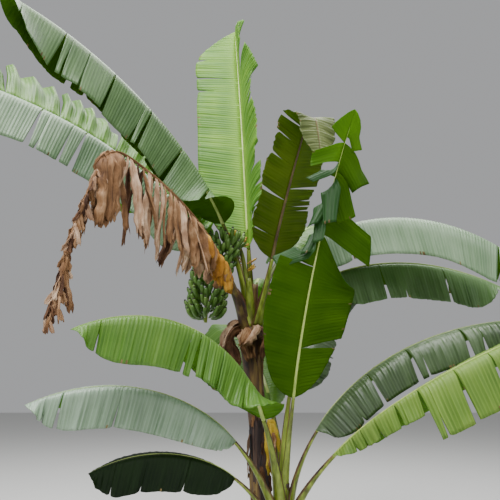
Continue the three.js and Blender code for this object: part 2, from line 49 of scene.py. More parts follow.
# Rule of the leaves, as in the solids: the veins' sweep towards the tip, the leaf stalk's radius, taper
# and flatness, how much wider and deeper it is at its foot, the share of the full width below which a
# blade folds less, and the steps of a rib.
VEIN_SWEEP = math.tan(math.radians(12))
STALK_RADIUS = 0.024
STALK_TAPER = 0.72
STALK_FLATNESS = 0.85
FOOT_SPREAD = 1.35
FOOT_DEPTH = 0.85
FOOT_POWER = 1.25
FULL_FOLD_WIDTH = 0.6
PATH_STEPS = 480

# Channel on top of a leaf stalk and the lips beside it, in radii.
GROOVE = 0.45
LIP = 0.5

# Fineness of the blades.
ROW_STEP = 0.010
COLUMNS = 12
SUBSTEPS = 2
BLADE_THICKNESS = 0.0016
WELD = 0.0002
STALK_RINGS = 28
RIB_RINGS = 90

# Shape of the blades: the gape of their tears, how far the edges beside a tear bend down, and the lengths
# of their folds along the veins, from the smallest to the widest.
CUT_GAPE = 0.009
EDGE_DROP = 0.012
RIPPLE_LENGTH = 0.033
PLEAT_LENGTH = 0.085
FAN_LENGTH = 0.115
SWELL_LENGTH = 0.55
SWELL_HEIGHT = 0.010

MAIN_STEM = dict(foot=(0, 0), top=(-0.1, 0), height=2.06, lean=1.6,
                 radius=0.058, taper=0.044, power=1.5, flare=0.058, flare_height=0.110)
SIDE_STEM = dict(foot=(0.13, -0.27), top=(0.13, -0.30), height=0.83, lean=1.2,
                 radius=0.042, taper=0.026, power=1.2, flare=0.072, flare_height=0.070)


# One half of a blade. Lift is its angle at the rib and hang the angle below level at the margin, reached
# between start and stop. Plumb turns the fall to true down and spread varies it from strip to strip. Cuts
# are tears to the rib, tears the number of shorter ones, wild the strips' own turns in degrees and pleat
# the height of the folds along the veins in millimetres. Flops maps a strip's number to what flop() makes.
# Up to the first number of scant the strips are shorter by the second. Fan is the height of broad zigzag
# folds in millimetres.
HALF = dict(lift=6, hang=6, start=0.0, stop=1.0, plumb=0.0, spread=0.0, cuts=(), tears=0, wild=5, pleat=4,
            flops={}, scant=(0, 1), fan=0)


def half(**change):
    """A half that stands out level."""
    return {**HALF, **change}


def slack(cuts, **change):
    """A half that sags."""
    return half(**{**dict(hang=50, start=0.1, stop=0.8, plumb=0.6, spread=8, cuts=cuts), **change})


def hanging(cuts, **change):
    """A half that hangs straight down from the rib."""
    return half(**{**dict(lift=-6, hang=88, stop=0.3, plumb=0.92, spread=6, cuts=cuts), **change})


def flop(at=0.0, sinks=0.0, forward=0.0, over=0, grows=0.0, longer=1.0):
    """A strip that gives way at a fraction of its width: it sinks, comes forward or folds over by degrees.
    Grows makes that start nowhere at the strip's lower side and longer lengthens the strip."""
    return dict(at=at, sinks=sinks, forward=forward, over=over, grows=grows, longer=longer, edge=None)


def loose(edge, way, length=1.0, drop=0.35, curl=0, spread=1.0):
    """A strip that hangs free: its width turns to lie along edge and its length along way, after a share of
    the length. Curl is how many degrees it rolls up across, and spread its width against the rib's part."""
    return dict(flop(), edge=edge, way=way, length=length, drop=drop, curl=curl, spread=spread)


def row(tone, foot, heading, swerve, rise, droop, bend, petiole, lamina, half, **more):
    """One leaf in millimetres and degrees. It sets out from foot, along heading, at the angle rise above
    level, and ends at the angle droop. Swerve is how far its heading turns, near the tip when
    swerve_power is above 1, and a bend below 1 brings the fall near the foot. Petiole, lamina and half are
    the lengths of its stalk and blade and half the blade's width. Among the rest, shoulder is where the
    blade has its full width and tip_at where it starts to narrow, both as fractions of it, and settle is
    the fraction in which its folds begin. Roll turns it round its rib, kink is a sharp bend with its place,
    turn, half length, waist and narrowing, and rib is the stalk's radius. From lit_from on the underside
    is lighter, which is painted light, and far_tone is the right half's tone, a darker green that is
    painted shade among that half's folds."""
    return dict(tone=tone, foot=foot, heading=heading, swerve=swerve, rise=rise, droop=droop, bend=bend,
                petiole=petiole, lamina=lamina, half=half, **more)


MAIN_LEAVES = {
    "main_leaf_back": row(
        "bright", (-80, 50, 2000), 134, -14, 86, 81, 2, 680, 2400, 450, shoulder=0.3, tip_at=0.78, roll=-41,
        left=half(lift=2, hang=0, tears=4, wild=3, pleat=3),
        right=half(lift=74, hang=-60, start=0.4, spread=14, cuts=(0.62, 0.74, 0.86), tears=9, wild=14)),
    "main_leaf_front": row(
        "olive", (-40, -20, 2000), 305, -3, 70, 56, 1.2, 550, 1600, 310, roll=10,
        kink=(0.8, -140, 0.05, 0.2, 0.4), left=half(cuts=(0.36, 0.66), tears=4, wild=7, pleat=5),
        right=half(cuts=(0.3, 0.66), tears=4, wild=7, pleat=5)),
    "main_leaf_left_high": row(
        "silver", (-120, -20, 1980), 221, 9, 94, 3, 0.7, 880, 2260, 440, settle=0.2,
        left=hanging((0.13, 0.3, 0.46, 0.62, 0.8), tears=4, wild=9, pleat=1.1),
        right=hanging((0.25, 0.5, 0.72), hang=84, stop=0.35, tears=6, pleat=3, scant=(1, 0.72))),
    # Its green far tone on the right half is painted shade among that half's folds.
    "main_leaf_left_low": row(
        "pewter_and_sheen", (-155, -20, 1930), 198, 15, 88, 1, 0.67, 800, 2350, 430, tip_at=0.86, far_tone="green",
        left=hanging((0.22, 0.4, 0.55, 0.7, 0.86), tears=4, wild=7, pleat=1.3),
        right=half(lift=68, hang=-42, start=0.45, stop=0.65, plumb=0.5, spread=6,
                   cuts=(0.25, 0.45, 0.65, 0.82), tears=3, pleat=1, fan=28)),
    "main_leaf_right": row(
        "pewter_and_sheen", (-20, 20, 1950), 337, 9, 98, -54, 0.7, 750, 2000, 400,
        left=slack((0.3, 0.62), tears=3), right=hanging((0.8,), stop=0.5, tears=1, wild=3, pleat=2.5)),
    "main_leaf_right_low": row(
        "silver", (-20, 40, 1880), 2, -10, 70, -30, 0.73, 800, 1470, 340,
        left=slack((0.4, 0.7), tears=3), right=hanging((0.3, 0.66), lift=-25, stop=0.2, tears=2, pleat=7)),
    "main_leaf_far_left": row(
        "green", (-140, 40, 1950), 148, -4, 84, 0, 0.8, 800, 2100, 350,
        left=slack((0.25, 0.5, 0.75), tears=6), right=slack((0.4, 0.7), tears=6)),
    "main_leaf_far_right": row(
        "green", (-50, 60, 1950), 52, 6, 82, -10, 0.8, 750, 2100, 350,
        left=slack((0.4, 0.7), tears=5), right=slack((0.3, 0.55, 0.8), hang=70, tears=6)),
    "main_leaf_far_low": row(
        "green", (-90, 70, 1880), 84, 0, 74, -60, 0.9, 700, 1900, 330,
        left=hanging((0.3, 0.6), stop=0.6, tears=6), right=hanging((0.45, 0.75), stop=0.6, tears=6)),
}

DEAD_LEAVES = {
    "dead_leaf": row(
        "dead", (-130, -70, 1860), 251, -20, 79, -12, 0.5, 550, 2500, 340, kink=(0.66, -72, 0.05, 0.75, 0.5)),
    "yellow_leaf": row("dead", (0, -50, 1400), 300, 0, 20, -90, 0.22, 150, 440, 64, rib=9),
    "dead_sheath_left": row("dead", (-120, -35, 1990), 216, 0, 35, -90, 0.7, 5, 500, 95),
    "dead_sheath_right": row("dead", (-70, -35, 1960), 305, 0, 20, -90, 0.6, 5, 410, 70),
}

SIDE_LEAVES = {
    "side_leaf_front": row(
        "deep", (130, -320, 750), 286, 40, 76, 68, 0.46, 720, 2020, 330, swerve_power=1.5,
        rib=17, shoulder=0.3, tip_at=0.5, lit_from=0.79,
        left=half(
            cuts=(0.17, 0.56, 0.68, 0.78, 0.88), wild=6, pleat=1.6,
            flops={0: flop(sinks=0.10, forward=0.15, grows=4.0, longer=0.94),
                   1: flop(sinks=1.9, grows=3.2, longer=1.15),
                   2: flop(sinks=0.8, forward=0.2, longer=1.38),
                   3: loose((0.85, -0.1, 0.3), (0.25, 0, -1), curl=25, spread=0.85),
                   4: loose((0.7, -0.3, 0.3), (0.4, -0.1, -1), length=1.35, curl=80, spread=0.9),
                   5: loose((0.8, 0, 0.2), (0.15, 0, -1), length=2.4, drop=0.5, curl=60, spread=0.35)}),
        right=half(
            cuts=(0.45, 0.56, 0.61, 0.66, 0.71, 0.76, 0.81, 0.88), wild=7, pleat=1.6,
            flops={1: loose((0.35, -0.3, -1), (-1, -0.12, -0.42), drop=0.6, curl=20, spread=0.6),
                   2: loose((0.8, -0.1, 0.2), (-0.5, -0.15, -1), length=0.75, curl=50, spread=1.2),
                   3: loose((0.8, -0.4, 0.2), (-0.2, -0.15, -1), length=0.8, curl=-30, spread=1.1),
                   4: loose((0.9, -0.2, 0.2), (-0.5, -0.1, -0.9), length=0.85, curl=70, spread=1.7),
                   5: loose((0.8, -0.2, 0.1), (-0.10, -0.1, -1), length=1.15, drop=0.25, curl=40,
                            spread=1.5),
                   6: loose((0.7, -0.3, -0.6), (-1, -0.1, -0.55), drop=0.45, curl=30),
                   7: loose((0.2, -0.2, 1), (-1, -0.05, -0.30), length=1.25, curl=45),
                   8: flop(sinks=0.2, longer=1.5)})),
    "side_leaf_far_right": row(
        "dusk", (130, -270, 750), 58, -10, 90, 20, 1.1, 720, 1550, 310,
        left=slack((0.5,), start=0, stop=1, tears=3),
        right=slack((0.45, 0.75), start=0, stop=1, hang=60, tears=3)),
    "side_leaf_left_high": row(
        "green", (110, -320, 720), 246, -43, 75, -28, 1.5, 620, 1630, 330, settle=0.3,
        left=hanging((0.5,), tears=5, wild=4), right=slack((0.45,), tears=3)),
    "side_leaf_left_mid": row(
        "frost_and_sheen", (90, -310, 620), 222, -29, 67, -26, 1.2, 660, 1440, 285, shoulder=0.45,
        left=hanging((0.84,), tears=2, wild=4, pleat=9), right=slack((0.4,), tears=3)),
    # Its dark tone is painted shade, as this leaf lies in deep shade.
    "side_leaf_left_low": row(
        "dark", (90, -285, 520), 217, -27, 64, -28, 1.1, 540, 1000, 250, shoulder=0.35,
        left=hanging((), tears=3, wild=4), right=slack((), tears=2)),
    "side_leaf_right": row(
        "dusk", (170, -290, 660), 337, 16, 88, -1, 0.75, 600, 1760, 310,
        left=slack((0.55,), hang=30, tears=3), right=hanging((0.3, 0.48, 0.7), stop=0.6, tears=4, pleat=6)),
    "side_leaf_right_low": row(
        "fresh", (170, -320, 600), 309, 56, 76, 17, 0.4, 620, 1890, 370, shoulder=0.5,
        left=slack((0.52,), tears=3),
        right=hanging((0.28, 0.37, 0.5, 0.62, 0.8), plumb=1, tears=6, wild=7, pleat=6, scant=(0.33, 0.5))),
    "side_leaf_far": row(
        "green", (150, -260, 680), 105, 12, 80, 5, 1, 750, 1600, 280,
        left=slack((0.5,), tears=4), right=slack((0.4, 0.7), tears=4)),
}

# Line of the fruit stalk, from the stem's throat to the end of the bunch.
BUNCH_ROUTE = [(-95, 10, 1990), (-130, 15, 2350), (-170, -5, 2600), (-240, -50, 2700),
               (-335, -110, 2590), (-400, -140, 2400), (-440, -155, 2180), (-450, -165, 2000)]


def smooth(x, low, high):
    """Rises from 0 at low to 1 at high without a corner."""
    t = np.clip((x - low) / (high - low), 0, 1)
    return t * t * (3 - 2 * t)


def chance(seed):
    """The number between 0 and 1 that the solids draw for the same seed."""
    wave = math.sin(seed * 12.9898 + 4.1414) * 43758.5453
    return wave - math.floor(wave)


def unit(vectors):
    return vectors / np.maximum(np.linalg.norm(vectors, axis=-1, keepdims=True), 1e-12)


def column(values):
    """Turns one number per point into a shape that scales vectors."""
    return np.asarray(values)[..., None]


# Colours are linear, as the shader takes them.
def material(name, colour, roughness, **sockets):
    made = bpy.data.materials.new(name)
    made.use_nodes = True
    shader = made.node_tree.nodes["Principled BSDF"]
    shader.inputs["Base Color"].default_value = (*colour, 1)
    shader.inputs["Roughness"].default_value = roughness
    for socket, value in sockets.items():
        shader.inputs[socket.replace("_", " ")].default_value = value
    return made


class Shader:
    """Short words for adding and joining the nodes of one material."""

    def __init__(self, made):
        self.tree = made.node_tree
        self.shader = made.node_tree.nodes["Principled BSDF"]
        self.output = made.node_tree.nodes["Material Output"]

    def feed(self, socket, value):
        """Joins a socket to another one, or gives it a value of its own."""
        if isinstance(value, bpy.types.NodeSocket):
            self.tree.links.new(value, socket)
        else:
            socket.default_value = value

    def add(self, kind, **values):
        """A node with its settings and what goes into its sockets."""
        node = self.tree.nodes.new("ShaderNode" + kind)
        for name, value in values.items():
            if hasattr(node, name):
                setattr(node, name, value)
            else:
                self.feed(node.inputs[name.replace("_", " ")], value)
        return node

    def math(self, operation, first, second=0.0):
        node = self.add("Math", operation=operation)
        self.feed(node.inputs[0], first)
        self.feed(node.inputs[1], second)
        return node.outputs[0]

    def ramp(self, factor, stops):
        node = self.add("ValToRGB")
        elements = node.color_ramp.elements
        while len(elements) < len(stops):
            elements.new(0.5)
        for element, (place, colour) in zip(elements, stops):
            element.position = place
            element.color = (*colour, 1)
        self.feed(node.inputs["Fac"], factor)
        return node.outputs["Color"]

    def mix(self, factor, first, second):
        """Blends two colours, which are the Mix node's inputs 6 and 7."""
        node = self.add("Mix", data_type="RGBA", Factor=factor)
        self.feed(node.inputs[6], first)
        self.feed(node.inputs[7], second)
        return node.outputs[2]

    def weighted(self, *terms):
        """Sum of values, each times its share."""
        total = None
        for value, share in terms:
            part = self.math("MULTIPLY", value, share)
            total = part if total is None else self.math("ADD", total, part)
        return total

    def rescaled(self, value, low, high, full=1.0, shape="LINEAR"):
        """Turns values from 0 to full into values from low to high."""
        node = self.add("MapRange", interpolation_type=shape, Value=value, From_Max=full, To_Min=low,
                        To_Max=high)
        return node.outputs[0]

    def noise(self, place, scale, detail=3.0, roughness=0.5, stretch=None):
        if stretch:
            place = self.add("Mapping", Vector=place, Scale=stretch).outputs["Vector"]
        node = self.add("TexNoise", Vector=place, Scale=scale, Detail=detail, Roughness=roughness)
        return node.outputs["Fac"]

    def bump(self, height, distance, strength):
        node = self.add("Bump", Height=height, Distance=distance, Strength=strength)
        self.feed(self.shader.inputs["Normal"], node.outputs["Normal"])

    def colour(self, source):
        self.feed(self.shader.inputs["Base Color"], source)


def wave_along(shader, x, length, shift):
    """A sine along the blade with the given wave length in metres, pushed about by shift."""
    phase = shader.math("ADD", shader.math("MULTIPLY", x, 2 * math.pi / length), shift)
    return shader.math("SINE", phase)


# Spacing of the wide ridges and of the fine veins, the width of the lighter band beside the rib, and
# the colour of light that comes through a leaf.
RIDGE_SPACING = 0.024
VEIN_SPACING = 0.0083
RIB_BAND = 0.17
GLOW = (0.34, 0.66, 0.01)


def leaf_material(name, dark, mid, pale, vein, roughness, glow, gloss, glow_colour=GLOW):
    """A leaf surface: broad patches, panels and lines along the veins, and some light let through."""
    made = material(name, mid, roughness, **gloss)
    shader = Shader(made)
    uv = shader.add("UVMap", uv_map="Veins").outputs["UV"]
    split = shader.add("SeparateXYZ", Vector=uv)
    along, across = split.outputs["X"], split.outputs["Y"]
    place = shader.add("TexCoord").outputs["Object"]
    wobble = shader.math("MULTIPLY", shader.noise(uv, 1.0, stretch=(5, 0.6, 1)), 4)
    ridges = wave_along(shader, along, RIDGE_SPACING, wobble)
    fine = wave_along(shader, along, VEIN_SPACING, wobble)
    patches = shader.noise(place, 3.1)
    panels = shader.noise(uv, 1.0, 2, stretch=(17, 0.9, 1))
    streaks = shader.noise(uv, 1.0, 3, 0.6, stretch=(70, 1.6, 1))
    level = shader.weighted((patches, 0.44), (panels, 0.32), (streaks, 0.24))
    colour = shader.ramp(level, [(0.36, dark), (0.50, mid), (0.64, pale)])
    share = shader.weighted((shader.math("MAXIMUM", ridges), 0.40), (fine, 0.06))
    colour = shader.mix(shader.math("MAXIMUM", share), colour, (*vein, 1))
    near_rib = shader.rescaled(shader.math("ABSOLUTE", across), 0.55, 0.0, RIB_BAND, "SMOOTHSTEP")
    shader.colour(shader.mix(near_rib, colour, (*vein, 1)))
    shader.bump(shader.weighted((fine, 0.2), (ridges, 0.8)), 0.0022, 0.6)
    rough = shader.rescaled(shader.noise(place, 11), roughness - 0.07, roughness + 0.10)
    shader.feed(shader.shader.inputs["Roughness"], rough)
    through = shader.add("BsdfTranslucent", Color=(*glow_colour, 1))
    blend = shader.add("MixShader", Fac=glow)
    shader.feed(blend.inputs[1], shader.shader.outputs[0])
    shader.feed(blend.inputs[2], through.outputs[0])
    shader.feed(shader.output.inputs["Surface"], blend.outputs[0])
    return made


def dry_material(name, dark, mid, pale, scale=1.0):
    """Dry leaf: streaks along the veins, brown to straw, rough and creased."""
    made = material(name, mid, 0.82, Specular_IOR_Level=0.25)
    shader = Shader(made)
    uv = shader.add("UVMap", uv_map="Veins").outputs["UV"]
    place = shader.add("TexCoord").outputs["Object"]
    streaks = shader.noise(uv, 1.0, 5, 0.65, (60 * scale, 5, 1))
    patches = shader.noise(place, 7 * scale, 4, 0.6)
    level = shader.weighted((streaks, 0.5), (patches, 0.5))
    shader.colour(shader.ramp(level, [(0.36, dark), (0.50, mid), (0.62, pale)]))
    shader.bump(shader.noise(uv, 1.0, 5, 0.75, (120, 22, 1)), 0.006, 0.9)
    return made


def streaked_material(name, stops, dark, mid, pale, roughness, stretch, scale, bump, **gloss):
    """Colours in streaks along Z or along a stalk."""
    made = material(name, mid, roughness, **gloss)
    shader = Shader(made)
    place = shader.add("TexCoord").outputs["Object"]
    streaks = shader.noise(place, scale, 5, 0.6, stretch)
    shader.colour(shader.ramp(streaks, list(zip(stops, (dark, mid, pale)))))
    shader.bump(shader.noise(place, 2.5 * scale, 4, 0.6, stretch), 0.002, bump)
    return made


def glossy(specular, coat=0, coat_roughness=0):
    """Shader sockets of a surface's gloss, with a waxy coat where there is one."""
    sockets = dict(Specular_IOR_Level=specular)
    if coat:
        sockets.update(Coat_Weight=coat, Coat_Roughness=coat_roughness)
    return sockets


# Undersides of the leaves: greens from dark to pale and of the veins, roughness, share of light let
# through, gloss and the colour of that light.
UNDERSIDES = {
    "bright": ((0.03, 0.1, 0.001), (0.06, 0.17, 0.002), (0.105, 0.25, 0.006), (0.12, 0.27, 0.01),
               0.52, 0.32, glossy(0.22)),
    "deep": ((0.017, 0.056, 0.0001), (0.034, 0.092, 0.0002), (0.058, 0.14, 0.0006),
             (0.044, 0.112, 0.0004), 0.65, 0.17, glossy(0.12), (0.32, 0.62, 0.001)),
    # The lit underside is painted light: a lighter green for the part of an underside where light falls.
    "lit": ((0.03, 0.095, 0.001), (0.056, 0.155, 0.001), (0.1, 0.245, 0.003), (0.11, 0.26, 0.004),
            0.58, 0.34, glossy(0.15), (0.36, 0.66, 0.002)),
    "olive": ((0.022, 0.038, 0.001), (0.052, 0.088, 0.002), (0.125, 0.185, 0.005), (0.1, 0.14, 0.005),
              0.55, 0.22, glossy(0.22), (0.38, 0.56, 0.004)),
}

# Tones of the leaves: the kind of underside, and the same values for the top.
TONES = {
    "bright": ("bright", (0.045, 0.14, 0.024), (0.09, 0.23, 0.03), (0.19, 0.37, 0.036),
               (0.32, 0.56, 0.06), 0.5, 0.22, glossy(0.3)),
    "fresh": ("bright", (0.055, 0.13, 0.012), (0.108, 0.21, 0.022), (0.19, 0.31, 0.042),
              (0.26, 0.39, 0.07), 0.5, 0.2, glossy(0.4)),
    "silver": ("deep", (0.032, 0.092, 0.016), (0.064, 0.145, 0.034), (0.115, 0.22, 0.072),
               (0.13, 0.24, 0.08), 0.44, 0.12, glossy(0.5, 0.2, 0.4)),
    # The pewter and frost tones are the leaves' grey green made paler by painted sheen, the sky's reflection.
    "pewter_and_sheen": ("bright", (0.07, 0.15, 0.062), (0.145, 0.24, 0.125), (0.24, 0.35, 0.215),
               (0.26, 0.38, 0.225), 0.44, 0.12, glossy(0.55, 0.3, 0.42)),
    "frost_and_sheen": ("bright", (0.11, 0.19, 0.105), (0.2, 0.3, 0.19), (0.31, 0.43, 0.31),
              (0.35, 0.47, 0.35), 0.44, 0.1, glossy(0.6, 0.4, 0.4)),
    "green": ("bright", (0.034, 0.115, 0.005), (0.07, 0.185, 0.012), (0.125, 0.27, 0.028),
              (0.165, 0.33, 0.045), 0.4, 0.18, glossy(0.5)),
    "olive": ("olive", (0.04, 0.062, 0.01), (0.085, 0.115, 0.024), (0.175, 0.21, 0.065),
              (0.18, 0.215, 0.065), 0.5, 0.16, glossy(0.4)),
    "dusk": ("deep", (0.014, 0.036, 0.006), (0.036, 0.076, 0.018), (0.105, 0.16, 0.075),
             (0.11, 0.17, 0.075), 0.34, 0.08, glossy(0.6, 0.35, 0.3)),
    # The dark tone is painted shade: near black greens for a leaf that lies in deep shade.
    "dark": ("deep", (0.001, 0.006, 0.001), (0.003, 0.011, 0.002), (0.008, 0.022, 0.005),
             (0.01, 0.024, 0.006), 0.5, 0.03, glossy(0.16)),
    "deep": ("deep", (0.004, 0.028, 0.003), (0.01, 0.05, 0.006), (0.026, 0.09, 0.018),
             (0.028, 0.095, 0.018), 0.38, 0.16, glossy(0.22)),
}
UNDER = {name: leaf_material("under_" + name, *row) for name, row in UNDERSIDES.items()}
SURFACES = {name: (leaf_material("leaf_" + name, *row[1:]), UNDER[row[0]]) for name, row in TONES.items()}

EVEN = (1, 1, 1)
DRY_EDGE = dry_material("dry_edge", (0.07, 0.045, 0.018), (0.18, 0.125, 0.05), (0.32, 0.24, 0.11))
DEAD = dry_material("dead_leaf", (0.06, 0.026, 0.012), (0.22, 0.11, 0.046), (0.43, 0.265, 0.145))
DEAD_DARK = dry_material("dead_leaf_dark", (0.018, 0.008, 0.005), (0.07, 0.03, 0.014),
                         (0.18, 0.088, 0.042))
DEAD_PALE = dry_material("dead_leaf_pale", (0.15, 0.072, 0.038), (0.4, 0.245, 0.145),
                         (0.68, 0.5, 0.35))
AMBER = dry_material("dead_leaf_amber", (0.12, 0.04, 0.008), (0.4, 0.18, 0.018), (0.6, 0.35, 0.06))
FADED = dry_material("faded_leaf", (0.12, 0.09, 0.008), (0.44, 0.3, 0.022), (0.62, 0.44, 0.06), 0.7)
RIB = streaked_material(
    "rib", (0.3, 0.5, 0.7), (0.26, 0.38, 0.06), (0.42, 0.54, 0.12), (0.58, 0.66, 0.24),
    0.38, EVEN, 5, 0.15, Specular_IOR_Level=0.5)
RIB_DARK = streaked_material(
    "rib_brown", (0.3, 0.5, 0.7), (0.045, 0.022, 0.018), (0.12, 0.075, 0.028), (0.23, 0.18, 0.06),
    0.42, EVEN, 5, 0.2)
STALK = streaked_material(
    "stalk", (0.34, 0.48, 0.66), (0.07, 0.075, 0.006), (0.15, 0.205, 0.014), (0.29, 0.37, 0.045),
    0.4, (14, 14, 1.2), 1.8, 0.25)
STALK_EDGE = streaked_material(
    "stalk_edge", (0.35, 0.5, 0.7), (0.03, 0.012, 0.008), (0.085, 0.045, 0.016), (0.21, 0.16, 0.035),
    0.5, (9, 9, 1.5), 2.0, 0.3)
SHEATH = streaked_material(
    "sheath", (0.36, 0.5, 0.68), (0.016, 0.007, 0.006), (0.085, 0.04, 0.014), (0.215, 0.14, 0.034),
    0.55, (14, 14, 0.8), 1.6, 0.5)
BARK = streaked_material(
    "old_sheath", (0.38, 0.54, 0.72), (0.006, 0.003, 0.004), (0.024, 0.011, 0.01), (0.12, 0.064, 0.04),
    0.6, (16, 16, 0.9), 1.7, 0.9)
FRUIT = streaked_material(
    "fruit", (0.3, 0.5, 0.72), (0.04, 0.105, 0.012), (0.08, 0.175, 0.022), (0.15, 0.255, 0.045),
    0.42, EVEN, 9, 0.2)
FRUIT_TIP = streaked_material(
    "fruit_tip", (0.35, 0.5, 0.7), (0.01, 0.007, 0.005), (0.022, 0.015, 0.01), (0.06, 0.04, 0.022),
    0.8, EVEN, 60, 0.5)
FRUIT_SMALL = streaked_material(
    "small_fruit", (0.35, 0.5, 0.7), (0.3, 0.14, 0.012), (0.56, 0.33, 0.035), (0.7, 0.48, 0.09),
    0.5, EVEN, 30, 0.3)


def weld(mesh):
    """Joins the points that lie within the weld distance."""
    grid = bmesh.new()
    grid.from_mesh(mesh)
    bmesh.ops.remove_doubles(grid, verts=grid.verts, dist=WELD)
    bmesh.ops.dissolve_degenerate(grid, edges=grid.edges, dist=WELD / 2)
    grid.to_mesh(mesh)
    grid.free()


class Soup:
    """Gathers vertices, faces, vein places and material numbers of one mesh."""

    def __init__(self):
        self.points = []
        self.faces = []
        self.uvs = []
        self.slots = []
        self.count = 0

    def grid(self, points, uvs, flip=False, slots=0):
        """Adds a grid of points, rows by columns."""
        rows, columns = points.shape[:2]
        index = np.arange(rows * columns).reshape(rows, columns) + self.count
        quads = np.stack([index[:-1, :-1], index[1:, :-1], index[1:, 1:], index[:-1, 1:]], -1).reshape(-1, 4)
        self.add(points.reshape(-1, 3), quads[:, ::-1] if flip else quads, uvs.reshape(-1, 2), slots)

    def tube(self, rings, slots=0):
        """Adds a closed tube through rings of points, with a flat cap at each end."""
        rings = np.asarray(rings)
        count, corners = rings.shape[:2]
        index = np.arange(count * corners).reshape(count, corners) + self.count
        ahead = np.roll(index, -1, axis=1)
        quads = np.stack([index[:-1], ahead[:-1], ahead[1:], index[1:]], -1).reshape(-1, 4)
        self.add(rings.reshape(-1, 3), quads, np.zeros((count * corners, 2)), slots)
        self.faces += [index[0][::-1].tolist(), index[-1].tolist()]
        self.slots += [slots if np.isscalar(slots) else slots[-1]] * 2

    def add(self, points, quads, uvs, slots):
        self.points.append(points)
        self.faces += quads.tolist()
        self.uvs.append(uvs)
        self.slots += [slots] * len(quads) if np.isscalar(slots) else list(slots)
        self.count += len(points)

    def build(self, name, materials):
        """Makes the object, with the vein places as its texture coordinates."""
        mesh = bpy.data.meshes.new(name)
        mesh.from_pydata(np.concatenate(self.points).tolist(), [], self.faces)
        uvs = np.concatenate(self.uvs)
        corners = np.zeros(len(mesh.loops), dtype=np.int32)
        mesh.loops.foreach_get("vertex_index", corners)
        layer = mesh.uv_layers.new(name="Veins")
        layer.data.foreach_set("uv", uvs[corners].ravel())
        for one in materials:
            mesh.materials.append(one)
        mesh.polygons.foreach_set("material_index", self.slots)
        mesh.polygons.foreach_set("use_smooth", [True] * len(mesh.polygons))
        made = bpy.data.objects.new(name, mesh)
        bpy.context.scene.collection.objects.link(made)
        return made


def rib_directions(leaf, s):
    """Unit vectors along, across and up of the rib at fractions s of the leaf's whole length."""
    slope = leaf["rise"] + (leaf["droop"] - leaf["rise"]) * s ** leaf["bend"]
    if "kink" in leaf:
        at, turn, over = leaf["kink"][:3]
        slope = slope + turn * smooth(s, at - over, at + over)
    elevation = np.radians(slope)
    heading = np.radians(leaf["heading"] + leaf["swerve"] * s ** leaf.get("swerve_power", 1))
    along = np.stack([np.cos(elevation) * np.cos(heading), np.cos(elevation) * np.sin(heading),
                      np.sin(elevation)], -1)
    level = np.stack([-np.sin(heading), np.cos(heading), 0 * heading], -1)
    raised = np.cross(along, level)
    roll = math.radians(leaf.get("roll", 0))
    across = level * math.cos(roll) + raised * math.sin(roll)
    return along, across, raised * math.cos(roll) - level * math.sin(roll)


def half_of(leaf, side):
    return leaf["left"] if side > 0 else leaf["right"]


def rib_path(leaf):
    """Points of the rib from the leaf's foot to its tip, one per step."""
    middles = (np.arange(PATH_STEPS) + 0.5) / PATH_STEPS
    steps = rib_directions(leaf, middles)[0] * leaf["length"] / PATH_STEPS
    return np.vstack([leaf["foot"], leaf["foot"] + np.cumsum(steps, axis=0)])


def rib_points(leaf, s):
    places = np.arange(PATH_STEPS + 1) / PATH_STEPS
    return np.stack([np.interp(s, places, leaf["path"][:, axis]) for axis in range(3)], -1)


def prepared(name, row, stem):
    """A leaf's row of the table in metres, with what follows from it."""
    leaf = dict(row, name=name, stem=stem)
    for key in ("petiole", "lamina", "half"):
        leaf[key] = row[key] * MM
    leaf["foot"] = np.array(row["foot"]) * MM
    leaf["stalk_radius"] = row.get("rib", STALK_RADIUS / MM) * MM
    leaf["length"] = leaf["petiole"] + leaf["lamina"]
    leaf["neck"] = leaf["petiole"] / leaf["length"]
    leaf["path"] = rib_path(leaf)
    return leaf


def stalk_size(leaf, s):
    return leaf["stalk_radius"] * (1 - STALK_TAPER * s ** 0.6)


def half_width(leaf, u):
    base = np.sqrt(np.maximum(1 - (1 - np.minimum(u / leaf.get("shoulder", 0.16), 1)) ** 2, 0))
    tip_at = leaf.get("tip_at", 0.72)
    tip = 1 - np.maximum((u - tip_at) / (1 - tip_at), 0) ** 2.2
    width = leaf["half"] * (0.06 + 0.94 * base) * (0.02 + 0.98 * np.maximum(tip, 0))
    if "kink" in leaf:
        at, _, over, waist, narrowing = leaf["kink"]
        s = leaf["neck"] + u * (1 - leaf["neck"])
        beyond = smooth(s, at - over, at + over)
        width = width * (1 - waist * np.exp(-((s - at) / over) ** 2)) * (1 - narrowing * beyond)
    return width


def loose_surface(leaf, side, strip, u, fractions):
    """Points of a strip that hangs free from its part of the rib."""
    droop = strip["flop"]
    s = leaf["neck"] + u * (1 - leaf["neck"])
    middle = s[len(s) // 2]
    along, across, _ = rib_directions(leaf, middle)
    hangs = column(smooth(fractions, 0, droop["drop"]))
    line_way = unit(across * side * (1 - hangs) + unit(np.array(droop["way"], float)) * hangs)
    edge_way = unit(along * (1 - hangs) + unit(np.array(droop["edge"], float)) * hangs)
    width = half_width(leaf, u[len(u) // 2]) * droop["length"]
    steps = line_way[1:] * column(np.diff(fractions) * width)
    line = rib_points(leaf, middle) + np.vstack([np.zeros(3), np.cumsum(steps, axis=0)])
    face = unit(np.cross(edge_way, line_way))
    t = np.linspace(-1, 1, len(u))[:, None, None]
    reach = (s[-1] - s[0]) * leaf["length"] / 2 * (1 + (droop["spread"] - 1) * hangs)
    curl = np.radians(droop["curl"]) * smooth(fractions, 0.1, 0.6)[:, None] + 1e-6
    flat = np.sin(curl * t) / curl
    deep = (1 - np.cos(curl * t)) / curl
    ends = 1 - 0.06 * np.abs(t) ** 4
    rolled = (edge_way * reach)[None] * flat + (face * reach)[None] * deep
    return line[0] + (line - line[0])[None] * ends + rolled


